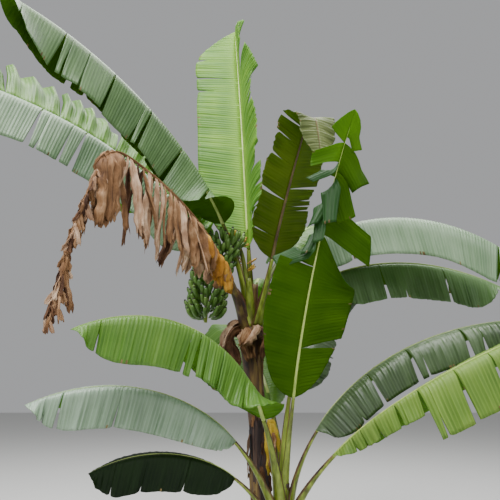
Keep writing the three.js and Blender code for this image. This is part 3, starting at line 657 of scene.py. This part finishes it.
def strip_surface(leaf, side, strip, u, fractions):
    """Points of one strip of a half-blade: rows at u along the rib, columns at fractions of its width."""
    part = half_of(leaf, side)
    s = leaf["neck"] + u * (1 - leaf["neck"])
    along, across, up = rib_directions(leaf, s)
    width = half_width(leaf, u)
    ease = np.minimum(width / (FULL_FOLD_WIDTH * leaf["half"]), 1)
    if "settle" in leaf:
        ease = ease * smooth(u, 0, leaf["settle"])
    plumb = part["plumb"] * (1 - along[:, 2] ** 2)
    t = np.linspace(-1, 1, len(u))
    droop = strip["flop"]
    gives = ((1 + t) / 2) ** droop["grows"] * ease
    width = width * strip["length"] * droop["longer"] * (1 - 0.05 * np.abs(t) ** 8)
    points = rib_points(leaf, s)
    surface = [points]
    for before, after in zip(fractions[:-1], fractions[1:]):
        for k in range(SUBSTEPS):
            way = before + (k + 0.5) / SUBSTEPS * (after - before)
            fall = smooth(way, part["start"], part["stop"]) * ease
            own = smooth(way, strip["root"], 1) * ease
            angle = np.radians(part["lift"] - (part["lift"] + part["hang"] + strip["hang"]) * fall
                               + own * (strip["tilt"] + strip["twist"] * t)
                               - gives * droop["over"] * smooth(way, droop["at"], droop["at"] + 0.12))
            lean = plumb * fall
            normal = unit(up * column(1 - lean) + UP * column(lean))
            outward = (across * column(side * np.cos(angle)) + normal * column(np.sin(angle))
                       + along * VEIN_SWEEP)
            given = column(gives * smooth(way, droop["at"], droop["at"] + 0.25))
            outward = outward - given * (UP * droop["sinks"] + up * droop["forward"])
            points = points + unit(outward) * column(width * (after - before) / SUBSTEPS)
        surface.append(points)
    return np.stack(surface, axis=1)


def pleats(leaf, side, u, fractions, height, fan):
    """Height of the folds along the veins, which grow from the rib to the margin."""
    x = u * leaf["lamina"]
    seed = chance(leaf["heading"] + side) * 9
    wander = 1.4 * np.sin(2 * np.pi * x / 0.31 + seed) + 0.9 * np.sin(2 * np.pi * x / 0.123 + 2 * seed)
    phase = 2 * np.pi * x / PLEAT_LENGTH + 2 * wander
    folds = np.sin(phase) - 0.22 * np.sin(2 * phase)
    ripples = 0.3 * np.sin(2 * np.pi * x / RIPPLE_LENGTH + 2.1 * wander)
    swell = np.sin(2 * np.pi * x / SWELL_LENGTH + seed)[:, None] * smooth(fractions, 0.2, 1) * SWELL_HEIGHT
    wave = (folds[:, None] * smooth(fractions, 0.10, 0.85)[None, :] * 1.3
            + ripples[:, None] * smooth(fractions, 0, 0.3))
    zigzag = 4 * np.abs((x + 0.03 * np.sin(x * 9)) / FAN_LENGTH % 1 - 0.5) - 1
    return height * wave + swell + fan * zigzag[:, None] * smooth(fractions, 0, 0.45)[None, :]


def tears_of(leaf, side, rng):
    """Tears of a half-blade as (place along the blade, where across it starts)."""
    part = half_of(leaf, side)
    found = [(u, 0.0) for u in part["cuts"]]
    tries = 0
    while len(found) < len(part["cuts"]) + part["tears"] and tries < 400:
        tries += 1
        u = rng.uniform(0.06, 0.97)
        if all(abs(u - other) > 0.022 for other, _ in found):
            found.append((u, rng.uniform(0.2, 0.92)))
    return sorted(found)


def blade_half(leaf, side, soup, rng):
    """One half of a blade, strip by strip, with its folds and with tears that gape towards the margin."""
    part = half_of(leaf, side)
    fractions = np.linspace(0, 1, COLUMNS + 1) ** 0.85
    ends = [(0.0, 1.0)] + tears_of(leaf, side, rng) + [(1.0, 1.0)]
    foot_seed = leaf["foot"][2] / MM + leaf["heading"] * side
    for (start, start_root), (stop, stop_root) in zip(ends[:-1], ends[1:]):
        solid_strip = sum(cut <= start for cut in part["cuts"])
        hang = part["spread"] * (2 * chance(foot_seed + solid_strip) - 1)
        strip = dict(root=min(max(start_root, stop_root), 0.95), hang=hang, length=rng.uniform(0.965, 1.0),
                     tilt=rng.normal() * part["wild"] * 0.6, twist=rng.normal() * part["wild"],
                     flop=part["flops"].get(solid_strip, flop()))
        if start < part["scant"][0]:
            strip["length"] *= part["scant"][1]
        rows = max(3, int(np.ceil((stop - start) * leaf["lamina"] / ROW_STEP)) + 1)
        u = np.linspace(start, stop, rows)
        follow = strip_surface if strip["flop"]["edge"] is None else loose_surface
        surface = follow(leaf, side, strip, u, fractions)
        height = pleats(leaf, side, u, fractions, part["pleat"] * MM, part["fan"] * MM)
        t = np.linspace(-1, 1, rows)[:, None]
        height = height - EDGE_DROP * np.abs(t) ** 5 * smooth(fractions, strip["root"], 1)[None, :]
        height = height * np.minimum(half_width(leaf, u) / (0.5 * leaf["half"]), 1)[:, None]
        normal = unit(np.cross(np.gradient(surface, axis=0), np.gradient(surface, axis=1))) * side
        surface = surface + normal * height[..., None]
        way = np.linspace(0, 1, rows)
        shifted = np.empty_like(surface)
        for k, fraction in enumerate(fractions):
            opened = np.zeros(rows)
            for root, weight in ((start_root, (1 - way) ** 3), (stop_root, -way ** 3)):
                if root < 1:
                    gape = CUT_GAPE if root == 0 else 0.35 * CUT_GAPE
                    opened += weight * gape * max(fraction - root, 0) / (1 - root)
            places = u + opened
            for axis in range(3):
                shifted[:, k, axis] = np.interp(places, u, surface[:, k, axis])
        uvs = np.stack(np.broadcast_arrays(u[:, None] * leaf["lamina"],
                                           side * fractions[None, :] * half_width(leaf, u)[:, None]), -1)
        # Past lit_from the underside is painted light; a far tone paints shade on the right half's top.
        beyond = start >= leaf.get("lit_from", 1) - 0.001 or (side < 0 and "far_tone" in leaf)
        slots = np.full((rows - 1, COLUMNS), BEYOND if beyond else TOP)
        spots = np.sin(u[:-1] * leaf["lamina"] * 23 + foot_seed) + rng.normal(size=rows - 1) * 0.7 > 1.8
        slots[spots, -1] = EDGE
        soup.grid(shifted, uvs, flip=side < 0, slots=slots.ravel().tolist())


# Places across the outside of a leaf stalk or sheath, and the faces next to its two upper edges.
SECTION = np.linspace(-1, 1, 11)
LIP_FACES = {9, 10, 11, 20, 21, 0}


def petiole_section(radius, groove=GROOVE, lip=LIP):
    """Ring of a leaf stalk: round below and hollow above, with its lowest point at the origin."""
    turn = SECTION * math.pi / 2
    outer = np.stack([radius * np.sin(turn), radius * STALK_FLATNESS * (1 - np.cos(turn))], -1)
    inner_x = SECTION[::-1] * 0.9
    height = lip * np.abs(inner_x) ** 1.5 - groove * (1 - np.abs(inner_x) ** 1.5)
    inner = np.stack([radius * inner_x, radius * (STALK_FLATNESS + height)], -1)
    return np.vstack([outer, inner])


def sheath_section(radius, half_angle, thickness):
    """Ring of a leaf sheath that wraps round a stem, with the middle of its outside at the origin."""
    turn = SECTION * half_angle
    outer = np.stack([radius * np.sin(turn), radius * (1 - np.cos(turn))], -1)
    inner_turn = SECTION[::-1] * half_angle * 0.98
    inside = radius - thickness * (1 - 0.8 * SECTION[::-1] ** 2)
    inner = np.stack([inside * np.sin(inner_turn), radius - inside * np.cos(inner_turn)], -1)
    return np.vstack([outer, inner])


def placed(section, origin, wide, high):
    """A ring's points in space, from its own two directions."""
    return origin + section[:, :1] * wide + section[:, 1:] * high


def foot_growth(leaf, s):
    """How much wider and deeper the leaf stalk is towards its foot."""
    way = (1 - min(s / leaf["neck"], 1)) ** FOOT_POWER
    return 1 + FOOT_SPREAD * way, 1 + FOOT_DEPTH * way


def stalk_ring(leaf, s):
    _, across, up = rib_directions(leaf, s)
    size = stalk_size(leaf, s)
    keel = rib_points(leaf, s) - up * size * (0.5 + STALK_FLATNESS)
    section = petiole_section(size)
    wider, deeper = foot_growth(leaf, s)
    return keel + section[:, :1] * across * wider + section[:, 1:] * up * deeper


def edged(rings, plain, edge):
    """Material numbers of a channelled tube's faces: its two upper edges have their own."""
    return [edge if k in LIP_FACES else plain for k in range(2 * len(SECTION))] * (rings - 1)


def add_stalk(leaf, soup):
    rings = [stalk_ring(leaf, s) for s in np.linspace(0, leaf["neck"], STALK_RINGS)]
    soup.tube(rings, slots=edged(len(rings), 0, 1))


def add_rib(leaf, soup, slot):
    """The rib from the start of the blade to its tip: a round keel below and a shallow channel above."""
    rings = []
    for s in np.linspace(leaf["neck"], 0.995, RIB_RINGS):
        u = (s - leaf["neck"]) / (1 - leaf["neck"])
        flush = smooth(u, 0, 0.1)
        _, across, up = rib_directions(leaf, s)
        size = stalk_size(leaf, s) * (1 - 0.75 * u ** 3)
        section = petiole_section(size, GROOVE - 0.63 * flush, LIP - 0.37 * flush)
        top = size * STALK_FLATNESS
        keel = rib_points(leaf, s) - up * (top + stalk_size(leaf, s) * 0.5 * (1 - flush))
        rings.append(placed(section, keel, across, up))
    soup.tube(rings, slots=slot)


def stem_axis(stem, z):
    way = (np.maximum(z, 0) / stem["height"]) ** stem["lean"]
    x = stem["foot"][0] + (stem["top"][0] - stem["foot"][0]) * way
    y = stem["foot"][1] + (stem["top"][1] - stem["foot"][1]) * way
    return np.stack([x, y, z + 0 * x], -1)


def stem_radius(stem, z):
    way = np.minimum(z / stem["height"], 1)
    return (stem["radius"] + stem["taper"] * (1 - way) ** stem["power"]
            + stem["flare"] * np.exp(-z / stem["flare_height"]))


def facing(angle):
    """Level unit vectors out of a stem at an angle and along its ring."""
    return np.array([math.cos(angle), math.sin(angle), 0]), np.array([-math.sin(angle), math.cos(angle), 0])


def add_sheath(leaf, soup, length, half_angle, slot):
    """The lower end of a leaf stalk, which widens into a sheath round the stem and sinks under the rest."""
    stem = leaf["stem"]
    _, across, up = rib_directions(leaf, 0.0)
    size = stalk_size(leaf, 0.0)
    keel = rib_points(leaf, 0.0) - up * size * (0.5 + STALK_FLATNESS)
    petiole = petiole_section(size) * np.array(foot_growth(leaf, 0))
    outward = keel - stem_axis(stem, keel[2])
    angle = math.atan2(outward[1], outward[0])
    reach = math.hypot(outward[0], outward[1])
    radial, tangent = facing(angle)
    rings = [stalk_ring(leaf, 0.0)]
    for share in np.linspace(0, 1, 22)[1:]:
        z = keel[2] - share * length
        blend = smooth(share * length, 0, min(0.36, 0.6 * length))
        around = stem_radius(stem, z) + (0.007 - 0.016 * smooth(share, 0.55, 1))
        centre = stem_axis(stem, z) + radial * (reach * (1 - blend) + around * blend)
        wide = across * (1 - blend) + tangent * blend
        inward = up * (1 - blend) - radial * blend
        sheath = sheath_section(around, half_angle * (0.35 + 0.65 * blend), 0.012)
        section = petiole * (1 - blend) + sheath * blend
        rings.append(placed(section, centre, unit(wide), unit(inward)))
    soup.tube(rings[::-1], slots=slot)


def stem_relief(stem, angle, z, sheaths, seed):
    """Thickness of the old leaf sheaths that wrap the stem, each one open along a slanting edge, and the
    number of the outermost sheath at each place."""
    rng = np.random.default_rng(seed)
    relief = np.zeros_like(angle)
    outermost = np.full(angle.shape, sheaths)
    for k in range(sheaths):
        middle = k * math.radians(137.5) + rng.uniform(-0.2, 0.2)
        top = stem["height"] * (0.16 + 0.82 * (k + 0.5) / sheaths)
        ragged = (top + 0.05 * np.sin(3 * angle + k) + 0.03 * np.sin(7 * angle + 2 * k)
                  + 0.012 * np.sin(19 * angle))
        around = np.abs((angle - middle + np.pi) % (2 * np.pi) - np.pi)
        open_half = math.pi * (0.92 - 0.62 * np.clip(z / top, 0, 1) ** 1.3)
        cover = smooth(open_half - around, 0, 0.10) * smooth(ragged - z, 0, 0.012)
        relief += rng.uniform(0.004, 0.007) * cover
        outermost = np.where((cover > 0.5) & (outermost == sheaths), k, outermost)
    fibres = 0.0010 * np.sin(38 * angle + 3 * np.sin(z * 5)) + 0.0006 * np.sin(71 * angle + 5 * np.sin(z * 3))
    return relief + fibres, outermost


def add_stub(soup, stem, angle, lean, length, size, shade):
    """The torn end of an old sheath that still stands between the leaf stalks."""
    radial, across = facing(angle)
    base = stem_axis(stem, stem["height"] - 0.14) + radial * size * 0.9
    rings = []
    for share in np.linspace(0, 1, 12):
        slope = lean * (0.4 + 0.9 * share)
        way = UP * math.cos(slope) + radial * math.sin(slope)
        inward = UP * math.sin(slope) - radial * math.cos(slope)
        section = petiole_section(size * (1 - 0.55 * share ** 2))
        rings.append(placed(section, base + way * length * share, across, inward))
    soup.tube(rings, slots=edged(len(rings), shade, STEM_DARK))


# Material numbers on a stem, in the order of its list of surfaces.
STEM_BARK, STEM_SHEATH, STEM_BROWN, STEM_DARK, STEM_PALE, STEM_AMBER, STEM_STALK = range(7)

# Fineness of a stem, the number of torn sheath ends that stand on it, and of its dry peels per metre.
STEM_SIDES = 120
STEM_RINGS = 190
STUBS = 9
PEELS_PER_METRE = 15


def build_stem(name, stem, leaves, sheaths, seed, sheath_length, half_angle):
    """The stem's own mesh: wrapped old sheaths with raised edges, and the living sheaths on top."""
    z = np.linspace(0, 1, STEM_RINGS) ** 1.15 * stem["height"] * 0.985
    angle = np.linspace(0, 2 * np.pi, STEM_SIDES, endpoint=False)
    grid_z, grid_angle = np.meshgrid(z, angle, indexing="ij")
    relief, outermost = stem_relief(stem, grid_angle, grid_z, sheaths, seed)
    relief -= relief.mean(axis=1, keepdims=True)
    closing = np.sqrt(np.clip((stem["height"] - grid_z) / 0.12, 0.05, 1))
    radius = (stem_radius(stem, grid_z) - 0.004) * closing + relief * closing
    around = np.stack([np.cos(grid_angle), np.sin(grid_angle), 0 * grid_angle], -1)
    points = stem_axis(stem, grid_z) + around * radius[..., None]
    soup = Soup()
    worn = np.array([STEM_BARK, STEM_BARK, STEM_DARK, STEM_BARK, STEM_SHEATH, STEM_BARK, STEM_BARK])
    soup.tube(points, slots=worn[outermost % len(worn)][:-1].ravel().tolist())
    for leaf in leaves:
        add_sheath(leaf, soup, sheath_length, half_angle, STEM_SHEATH)
    surfaces = [BARK, SHEATH] + DEAD_SHADES + [STALK]
    rng = np.random.default_rng(seed)
    for k in range(STUBS):
        lean = math.radians(rng.uniform(4, 14))
        length = stem["height"] * rng.uniform(0.15, 0.27)
        size = stem["radius"] * rng.uniform(0.65, 0.95)
        add_stub(soup, stem, k * 2.4 + 4.2, lean, length, size, STEM_SHEATH if k % 2 else STEM_STALK)
    made = soup.build(name, surfaces)
    peels = Soup()
    for top in np.linspace(0.16, 0.97, round(PEELS_PER_METRE * stem["height"])):
        z = top * stem["height"]
        radial, edge = facing(rng.uniform(0, 2 * math.pi))
        root = stem_axis(stem, z) + radial * (stem_radius(stem, z) + 0.004)
        length = min(rng.uniform(0.08, 0.20), 0.8 * z)
        width = rng.uniform(0.015, 0.06)
        shade = rng.choice([STEM_SHEATH, STEM_BROWN, STEM_DARK, STEM_DARK])
        add_ribbon(peels, root, unit(radial * 0.35 - UP), edge, width, length, rng, shade,
                   sway=0.03, turn=0.25, fold=0.2)
    sheet = peels.build(name + "_peels", surfaces)
    with_thickness(sheet)
    append_mesh(made, sheet)
    finish_piece(made, "stem", name)


def finish_piece(made, slot, *nodes):
    """Puts a piece on the plant's body, in place of its solids."""
    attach(made, "root")
    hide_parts(*nodes)


def with_thickness(sheet, below=0):
    """Makes a sheet solid; below is added to the material numbers of its underside."""
    solid = sheet.modifiers.new("Thickness", "SOLIDIFY")
    solid.thickness = BLADE_THICKNESS
    solid.offset = -1
    solid.use_rim = True
    solid.material_offset = below
    solid.material_offset_rim = below
    graph = bpy.context.evaluated_depsgraph_get()
    made = bpy.data.meshes.new_from_object(sheet.evaluated_get(graph))
    sheet.modifiers.clear()
    sheet.data = made


def append_mesh(target, other):
    """Adds the faces of one object to another, whose material slots they already count in."""
    joined = bmesh.new()
    joined.from_mesh(target.data)
    joined.from_mesh(other.data)
    joined.to_mesh(target.data)
    joined.free()
    bpy.data.objects.remove(other)


# Material numbers of a fine leaf: its top, dry edge and the part beyond, the same below, and the rib.
# The part beyond holds painted shade on a far half's darker top and painted light on a lit underside.
TOP, EDGE, BEYOND = range(3)
BELOW = 3
RIB_NUMBER = 6


def append_rib(sheet, leaf, slot, surfaces):
    soup = Soup()
    add_rib(leaf, soup, slot)
    append_mesh(sheet, soup.build(leaf["name"] + "_rib", surfaces))


def build_blade(leaf):
    """The blade of one leaf with its rib: a welded sheet made thick, and the rib's tube."""
    name = leaf["name"] + "_fine"
    top, under = SURFACES[leaf["tone"]]
    # A far tone is painted shade on the right half's top, and the lit underside is painted light.
    top_beyond, under_beyond = SURFACES[leaf.get("far_tone", leaf["tone"])]
    if "lit_from" in leaf:
        under_beyond = UNDER["lit"]
    rib = RIB_DARK if leaf["tone"] == "olive" else RIB
    surfaces = [top, DRY_EDGE, top_beyond, under, DRY_EDGE, under_beyond, rib]
    rng = np.random.default_rng(int(leaf["heading"] * 7 + leaf["foot"][2] / MM))
    soup = Soup()
    for side in (1, -1):
        blade_half(leaf, side, soup, rng)
    sheet = soup.build(name, surfaces)
    weld(sheet.data)
    with_thickness(sheet, BELOW)
    append_rib(sheet, leaf, RIB_NUMBER, surfaces)
    finish_piece(sheet, "leaf_blade", leaf["name"] + "_blade")


DEAD_SHADES = [DEAD, DEAD_DARK, DEAD_PALE, AMBER]
BROWN, DARK, PALE, GOLD = range(len(DEAD_SHADES))


def add_ribbon(soup, root, out, wide, width, length, rng, shade, fall=0.25, sway=0.2, turn=1.0, fold=0.45,
               waist=0.7):
    """A dry strip: it starts along out with its edge along wide, then falls, twists and frays."""
    rows = max(8, int(length / 0.02))
    way = np.linspace(0, 1, rows)
    wind = np.array([rng.normal(), rng.normal(), 0]) * sway
    bow = np.sin(way * rng.uniform(3, 8) + rng.uniform(0, 6))[:, None] * wide * 0.16
    down = column(smooth(way, 0, fall))
    steps = unit(out * (1 - down) + (wind + bow - UP) * down)
    line = root + np.vstack([np.zeros(3), np.cumsum(steps[:-1] * length / (rows - 1), axis=0)])
    across = unit(wide - steps * column(steps @ wide))
    deep = np.cross(steps, across)
    spin = column(rng.normal() * turn * way ** 1.2 + 0.25 * np.sin(way * rng.uniform(5, 12)))
    across, deep = across * np.cos(spin) + deep * np.sin(spin), deep * np.cos(spin) - across * np.sin(spin)
    taper = np.interp(way, [0, 0.08, 0.4, 0.85, 1], [0.6 * waist, waist, rng.uniform(0.85, 1), 0.85, 0.55])
    x = np.linspace(-1, 1, 9)
    ragged = 1 + 0.16 * np.sin(way[:, None] * np.array([23, 31]) + rng.uniform(0, 6, 2))
    edge = np.where(x < 0, ragged[:, :1], ragged[:, 1:])
    crease = fold * np.cos(x * rng.uniform(3, 5.5) + rng.uniform(0, 6))
    crease = crease + 0.10 * np.sin(x * 11 + rng.uniform(0, 6))
    height = crease[None, :] * (taper * smooth(way, 0, 0.2))[:, None]
    level = x[None, :] * edge * taper[:, None]
    points = (line[:, None, :] + across[:, None, :] * (level * width / 2)[..., None]
              + deep[:, None, :] * (height * width / 2)[..., None])
    frayed = rng.uniform(0, 0.13, 9) * smooth(way, 0.75, 1)[:, None] * length
    points = points - steps[:, None, :] * frayed[..., None]
    uvs = np.stack(np.broadcast_arrays(x[None, :] * width / 2 + root[0], way[:, None] * length), -1)
    soup.grid(points, uvs, slots=shade)


def ribbon_mesh(name, soup, nodes):
    """The piece made of dry strips, both sides alike."""
    sheet = soup.build(name, DEAD_SHADES * 2)
    with_thickness(sheet, len(DEAD_SHADES))
    finish_piece(sheet, "dead_leaf", *nodes)
    return sheet


# Numbers of the dead leaf's strips on its left and right, and on each side beyond the bend.
DEAD_STRIPS = ((1, 25), (-1, 15))
ROPE_STRIPS = 32


def build_dead_blade(leaf):
    """The dead blade hangs from its rib in ribbons, amber next to the stem, with a flap at the bend."""
    rng = np.random.default_rng(12)
    soup = Soup()
    at = leaf["kink"][0]

    def hang(s, side, width, length, shade, **shape):
        along, across, _ = rib_directions(leaf, s)
        root = rib_points(leaf, s) + across * side * 0.004 - UP * 0.006
        out = unit(across * side * 0.5 + along * 0.3 - UP)
        add_ribbon(soup, root, out, along, width, length, rng, shade, **shape)

    for side, count in DEAD_STRIPS:
        first = leaf["neck"] + 0.045
        for s in np.linspace(first, at - 0.035, count) + rng.uniform(-0.004, 0.004, count):
            far = (s - first) / (at - first)
            length = (0.26 + 0.27 * smooth(far, 0.1, 0.6)) * rng.uniform(0.72, 1.05)
            if far < (0.30 if side > 0 else 0.12):
                hang(s, side, rng.uniform(0.06, 0.11), length * 0.85, rng.choice([GOLD, GOLD, BROWN]),
                     turn=0.6, sway=0.14, fold=0.9, waist=0.5)
            elif far < 0.44:
                hang(s, side, rng.uniform(0.06, 0.10), length, rng.choice([PALE, BROWN, BROWN]),
                     turn=0.7, fold=0.8)
            else:
                hang(s, side, rng.uniform(0.022, 0.070), length,
                     rng.choice([BROWN, BROWN, PALE, DARK, DARK]), sway=0.16, turn=0.8, waist=0.45)
        for s in np.linspace(at - 0.012, at + 0.016, 4 if side > 0 else 3):
            hang(s, side, 0.11, rng.uniform(0.38, 0.46), BROWN, turn=0.12, sway=0.03, fold=0.5, waist=0.95)
        for s in np.linspace(at + 0.04, 0.99, ROPE_STRIPS) + rng.uniform(-0.004, 0.004, ROPE_STRIPS):
            room = (1 - s) * leaf["length"]
            length = rng.uniform(0.24, 0.36) if rng.uniform() < 0.12 else rng.uniform(0.08, 0.16)
            hang(s, side, rng.uniform(0.02, 0.045), min(length, room + 0.05),
                 rng.choice([BROWN, BROWN, PALE, DARK]), sway=0.25)
    sheet = ribbon_mesh("dead_leaf_strips", soup, ["dead_leaf_blade", "dead_leaf_tip"])
    append_rib(sheet, leaf, BROWN, DEAD_SHADES)


def build_skirt(leaf):
    """Dry ends of old sheaths that stand off below the crown and curl down."""
    rng = np.random.default_rng(int(leaf["heading"]))
    soup = Soup()
    ends = ((-50, 0.16, 0.85, BROWN), (-22, 0.20, 0.72, PALE), (5, 0.13, 0.95, DARK), (32, 0.10, 0.55, BROWN))
    for turn, width, share, shade in ends:
        out, edge = facing(math.radians(leaf["heading"] + turn))
        out = unit(out + UP * rng.uniform(0.1, 0.5))
        root = leaf["foot"] + edge * turn * 0.0008 - UP * rng.uniform(0.02, 0.08)
        add_ribbon(soup, root, out, edge, width * leaf["half"] / 0.095, leaf["length"] * share, rng, shade,
                   fall=0.7, sway=0.3, turn=0.8, fold=0.5, waist=0.8)
    ribbon_mesh(leaf["name"] + "_skin", soup, [leaf["name"]])


def build_yellow_blade(leaf):
    """The small fading leaf hangs limp in a few overlapping strips."""
    rng = np.random.default_rng(8)
    soup = Soup()
    strips = ((0.28, 0.11, 0.40, GOLD), (0.33, 0.10, 0.36, GOLD), (0.45, 0.05, 0.26, BROWN))
    for place, width, length, shade in strips:
        along, across, _ = rib_directions(leaf, place)
        add_ribbon(soup, rib_points(leaf, place), unit(along - UP * 0.6), across, width, length, rng, shade,
                   turn=0.3, sway=0.05, fold=0.3)
    sheet = soup.build("yellow_leaf_strip", [DEAD, DEAD_DARK, DEAD_PALE, FADED])
    with_thickness(sheet)
    finish_piece(sheet, "yellow_leaf", "yellow_leaf_blade")


def build_leaf(leaf):
    """The leaf's stalk and its blade, each a piece of its own."""
    name = leaf["name"]
    if name.startswith("dead_sheath"):
        build_skirt(leaf)
        return
    stalk_soup = Soup()
    add_stalk(leaf, stalk_soup)
    shades = [STALK_EDGE, DEAD_DARK] if name == "dead_leaf" else [STALK, STALK_EDGE]
    stalk = stalk_soup.build(name + "_petiole", shades)
    finish_piece(stalk, "leaf_stalk", name + "_stalk")
    if name == "dead_leaf":
        build_dead_blade(leaf)
    elif name == "yellow_leaf":
        build_yellow_blade(leaf)
    else:
        build_blade(leaf)


def curve_points(route, count):
    """Evenly spaced points of a smooth curve through the route."""
    route = np.array(route) * MM
    padded = np.vstack([2 * route[0] - route[1], route, 2 * route[-1] - route[-2]])
    fine = []
    for k in range(len(route) - 1):
        a, b, c, d = padded[k:k + 4]
        t = np.linspace(0, 1, 40, endpoint=False)[:, None]
        fine.append(0.5 * ((2 * b) + (c - a) * t + (2 * a - 5 * b + 4 * c - d) * t ** 2
                           + (3 * b - a - 3 * c + d) * t ** 3))
    fine = np.vstack(fine + [route[-1:]])
    walked = np.concatenate([[0], np.cumsum(np.linalg.norm(np.diff(fine, axis=0), axis=1))])
    places = np.linspace(0, walked[-1], count)
    return np.stack([np.interp(places, walked, fine[:, axis]) for axis in range(3)], -1)


def tube_rings(points, radii, sides, angled=0.0):
    """Rings round a line of points, turned as little as possible; angled makes the section five-sided."""
    along = unit(np.gradient(points, axis=0))
    side_way = unit(np.cross(along[0], UP + np.array([0.03, 0.02, 0])))
    rings = []
    for point, tangent, radius in zip(points, along, radii):
        side_way = unit(side_way - tangent * side_way.dot(tangent))
        up_way = np.cross(tangent, side_way)
        turn = np.linspace(0, 2 * np.pi, sides, endpoint=False)
        reach = radius * (1 + angled * np.cos(5 * turn))
        rings.append(point + (np.cos(turn) * reach)[:, None] * side_way
                     + (np.sin(turn) * reach)[:, None] * up_way)
    return rings


# The bunch: its hands and the fingers in each of a hand's two rows, the places of the first and last hand
# along the stalk, sizes, and the small yellow fruits.
HANDS = 10
FINGERS = 10
FIRST_HAND = 0.56
LAST_HAND = 0.975
BUNCH_STALK_RADIUS = 0.021
FINGER_RADIUS = 0.0180
SMALL_FRUITS = 26
SMALL_RADIUS = 0.0095

# Material numbers of the bunch.
GREEN_BODY, DARK_TIP, FRUIT_STALK, SMALL_BODY = range(4)


def add_finger(soup, base, outward, length, radius, curl, rng, slot=GREEN_BODY):
    """One banana: a thin neck, an angular curved body and a dark blunt tip."""
    way = np.linspace(0, 1, 15)
    angle = curl * way ** 1.1
    steps = outward * np.cos(angle)[:, None] + UP * np.sin(angle)[:, None]
    sway = np.cross(outward, UP) * rng.normal() * 0.06
    points = base + np.cumsum((steps + sway) * length / len(way), axis=0)
    profile = np.interp(way, [0, 0.14, 0.26, 0.40, 0.78, 0.90, 0.96, 1],
                        [0.4, 0.42, 0.75, 1.0, 1.0, 0.78, 0.42, 0.25])
    rings = tube_rings(points, radius * profile, 10, 0.05)
    body = len(way) - 2
    soup.tube(rings[:body + 1], slots=slot)
    tip = tube_rings(points[body:], radius * profile[body:] * 1.04, 10)
    soup.tube(tip, slots=DARK_TIP)


def build_bunch():
    """Hands of two rows of fingers round the stalk, and the small yellow fruits in the throat."""
    rng = np.random.default_rng(11)
    soup = Soup()
    line = curve_points(BUNCH_ROUTE, 90)
    way = np.linspace(0, 1, len(line))
    soup.tube(tube_rings(line, BUNCH_STALK_RADIUS * (1 - 0.35 * way), 12), slots=FRUIT_STALK)
    for hand in range(HANDS):
        share = hand / (HANDS - 1)
        knot_way = FIRST_HAND + (LAST_HAND - FIRST_HAND) * share
        knot = np.array([np.interp(knot_way, way, line[:, axis]) for axis in range(3)])
        size = 1 - 0.12 * share
        for row in range(2):
            for finger in range(FINGERS):
                spot = (finger + 0.5 * row + 0.25 + rng.uniform(-0.15, 0.15)) / FINGERS - 0.5
                angle = math.radians(235 + 330 * spot + 25 * (hand % 2))
                outward = facing(angle)[0] + UP * (0.14 * row - 0.10)
                base = knot + outward * 0.042 + UP * 0.017 * row
                add_finger(soup, base, unit(outward), rng.uniform(0.175, 0.205) * size * (1 - 0.12 * row),
                           FINGER_RADIUS * size * rng.uniform(0.93, 1.06),
                           math.radians(rng.uniform(70, 98)), rng)
    for knot_way in np.linspace(0.30, 0.52, SMALL_FRUITS):
        knot = np.array([np.interp(knot_way, way, line[:, axis]) for axis in range(3)])
        outward = unit(facing(rng.uniform(0, 2 * math.pi))[0] + UP * 0.4)
        add_finger(soup, knot + outward * 0.018, outward, rng.uniform(0.07, 0.11), SMALL_RADIUS,
                   math.radians(rng.uniform(10, 60)), rng, SMALL_BODY)
    finish_piece(soup.build("bunch_fingers", [FRUIT, FRUIT_TIP, STALK, FRUIT_SMALL]), "fruit", "bunch")


CAMERA_PLACE = (-0.10, -4.10, 1.50)
CAMERA_PITCH = 15.5
CAMERA_LENS = 36.0
CAMERA_SENSOR = 36.0
FLOOR_SIZE = 60
LAMP_TARGET = np.array([0, 0, 2.3])
# Place, width and power of each lamp.
LAMPS = {"key": ((-3.0, -3.0, 8.5), 5.0, 900), "sky": ((0.8, 1.5, 9.5), 8.0, 900),
         "front": ((0.5, -8.0, 7.5), 6.0, 480), "fill": ((5.5, -4.0, 4.0), 5.0, 60)}
SKY_STRENGTH = 0.40


def add_stage():
    """A plain pale floor, the photo's camera and soft light from large lamps and the sky."""
    bpy.ops.mesh.primitive_plane_add(size=FLOOR_SIZE, location=(0, 0, 0))
    floor = bpy.context.object
    floor.name = "floor"
    floor.data.materials.append(material("floor_pale", (0.62, 0.62, 0.60), 0.9))
    camera_data = bpy.data.cameras.new("camera")
    camera_data.lens = CAMERA_LENS
    camera_data.sensor_width = CAMERA_SENSOR
    camera = bpy.data.objects.new("camera", camera_data)
    camera.location = CAMERA_PLACE
    camera.rotation_euler = (math.radians(90 + CAMERA_PITCH), 0, 0)
    bpy.context.scene.collection.objects.link(camera)
    bpy.context.scene.camera = camera
    for name, (place, size, power) in LAMPS.items():
        lamp = bpy.data.lights.new(name, "AREA")
        lamp.shape = "DISK"
        lamp.size = size
        lamp.energy = power
        made = bpy.data.objects.new(name, lamp)
        made.location = place
        way = LAMP_TARGET - np.array(place)
        turn = math.atan2(way[1], way[0]) - math.pi / 2
        made.rotation_euler = (math.atan2(math.hypot(way[0], way[1]), -way[2]), 0, turn)
        bpy.context.scene.collection.objects.link(made)
    world = bpy.data.worlds.new("sky")
    bpy.context.scene.world = world
    world.use_nodes = True
    background = world.node_tree.nodes["Background"]
    background.inputs["Color"].default_value = (0.97, 0.98, 1.0, 1)
    background.inputs["Strength"].default_value = SKY_STRENGTH


add_stage()
main_leaves = [prepared(name, row, MAIN_STEM) for name, row in {**MAIN_LEAVES, **DEAD_LEAVES}.items()]
side_leaves = [prepared(name, row, SIDE_STEM) for name, row in SIDE_LEAVES.items()]
for plant_leaf in main_leaves + side_leaves:
    build_leaf(plant_leaf)
sheathed = [one for one in main_leaves if one["name"] in MAIN_LEAVES or one["name"] == "dead_leaf"]
build_stem("main_stem", MAIN_STEM, sheathed, 14, 3, 0.75, 1.9)
build_stem("side_stem", SIDE_STEM, side_leaves, 8, 5, 0.35, 1.7)
build_bunch()
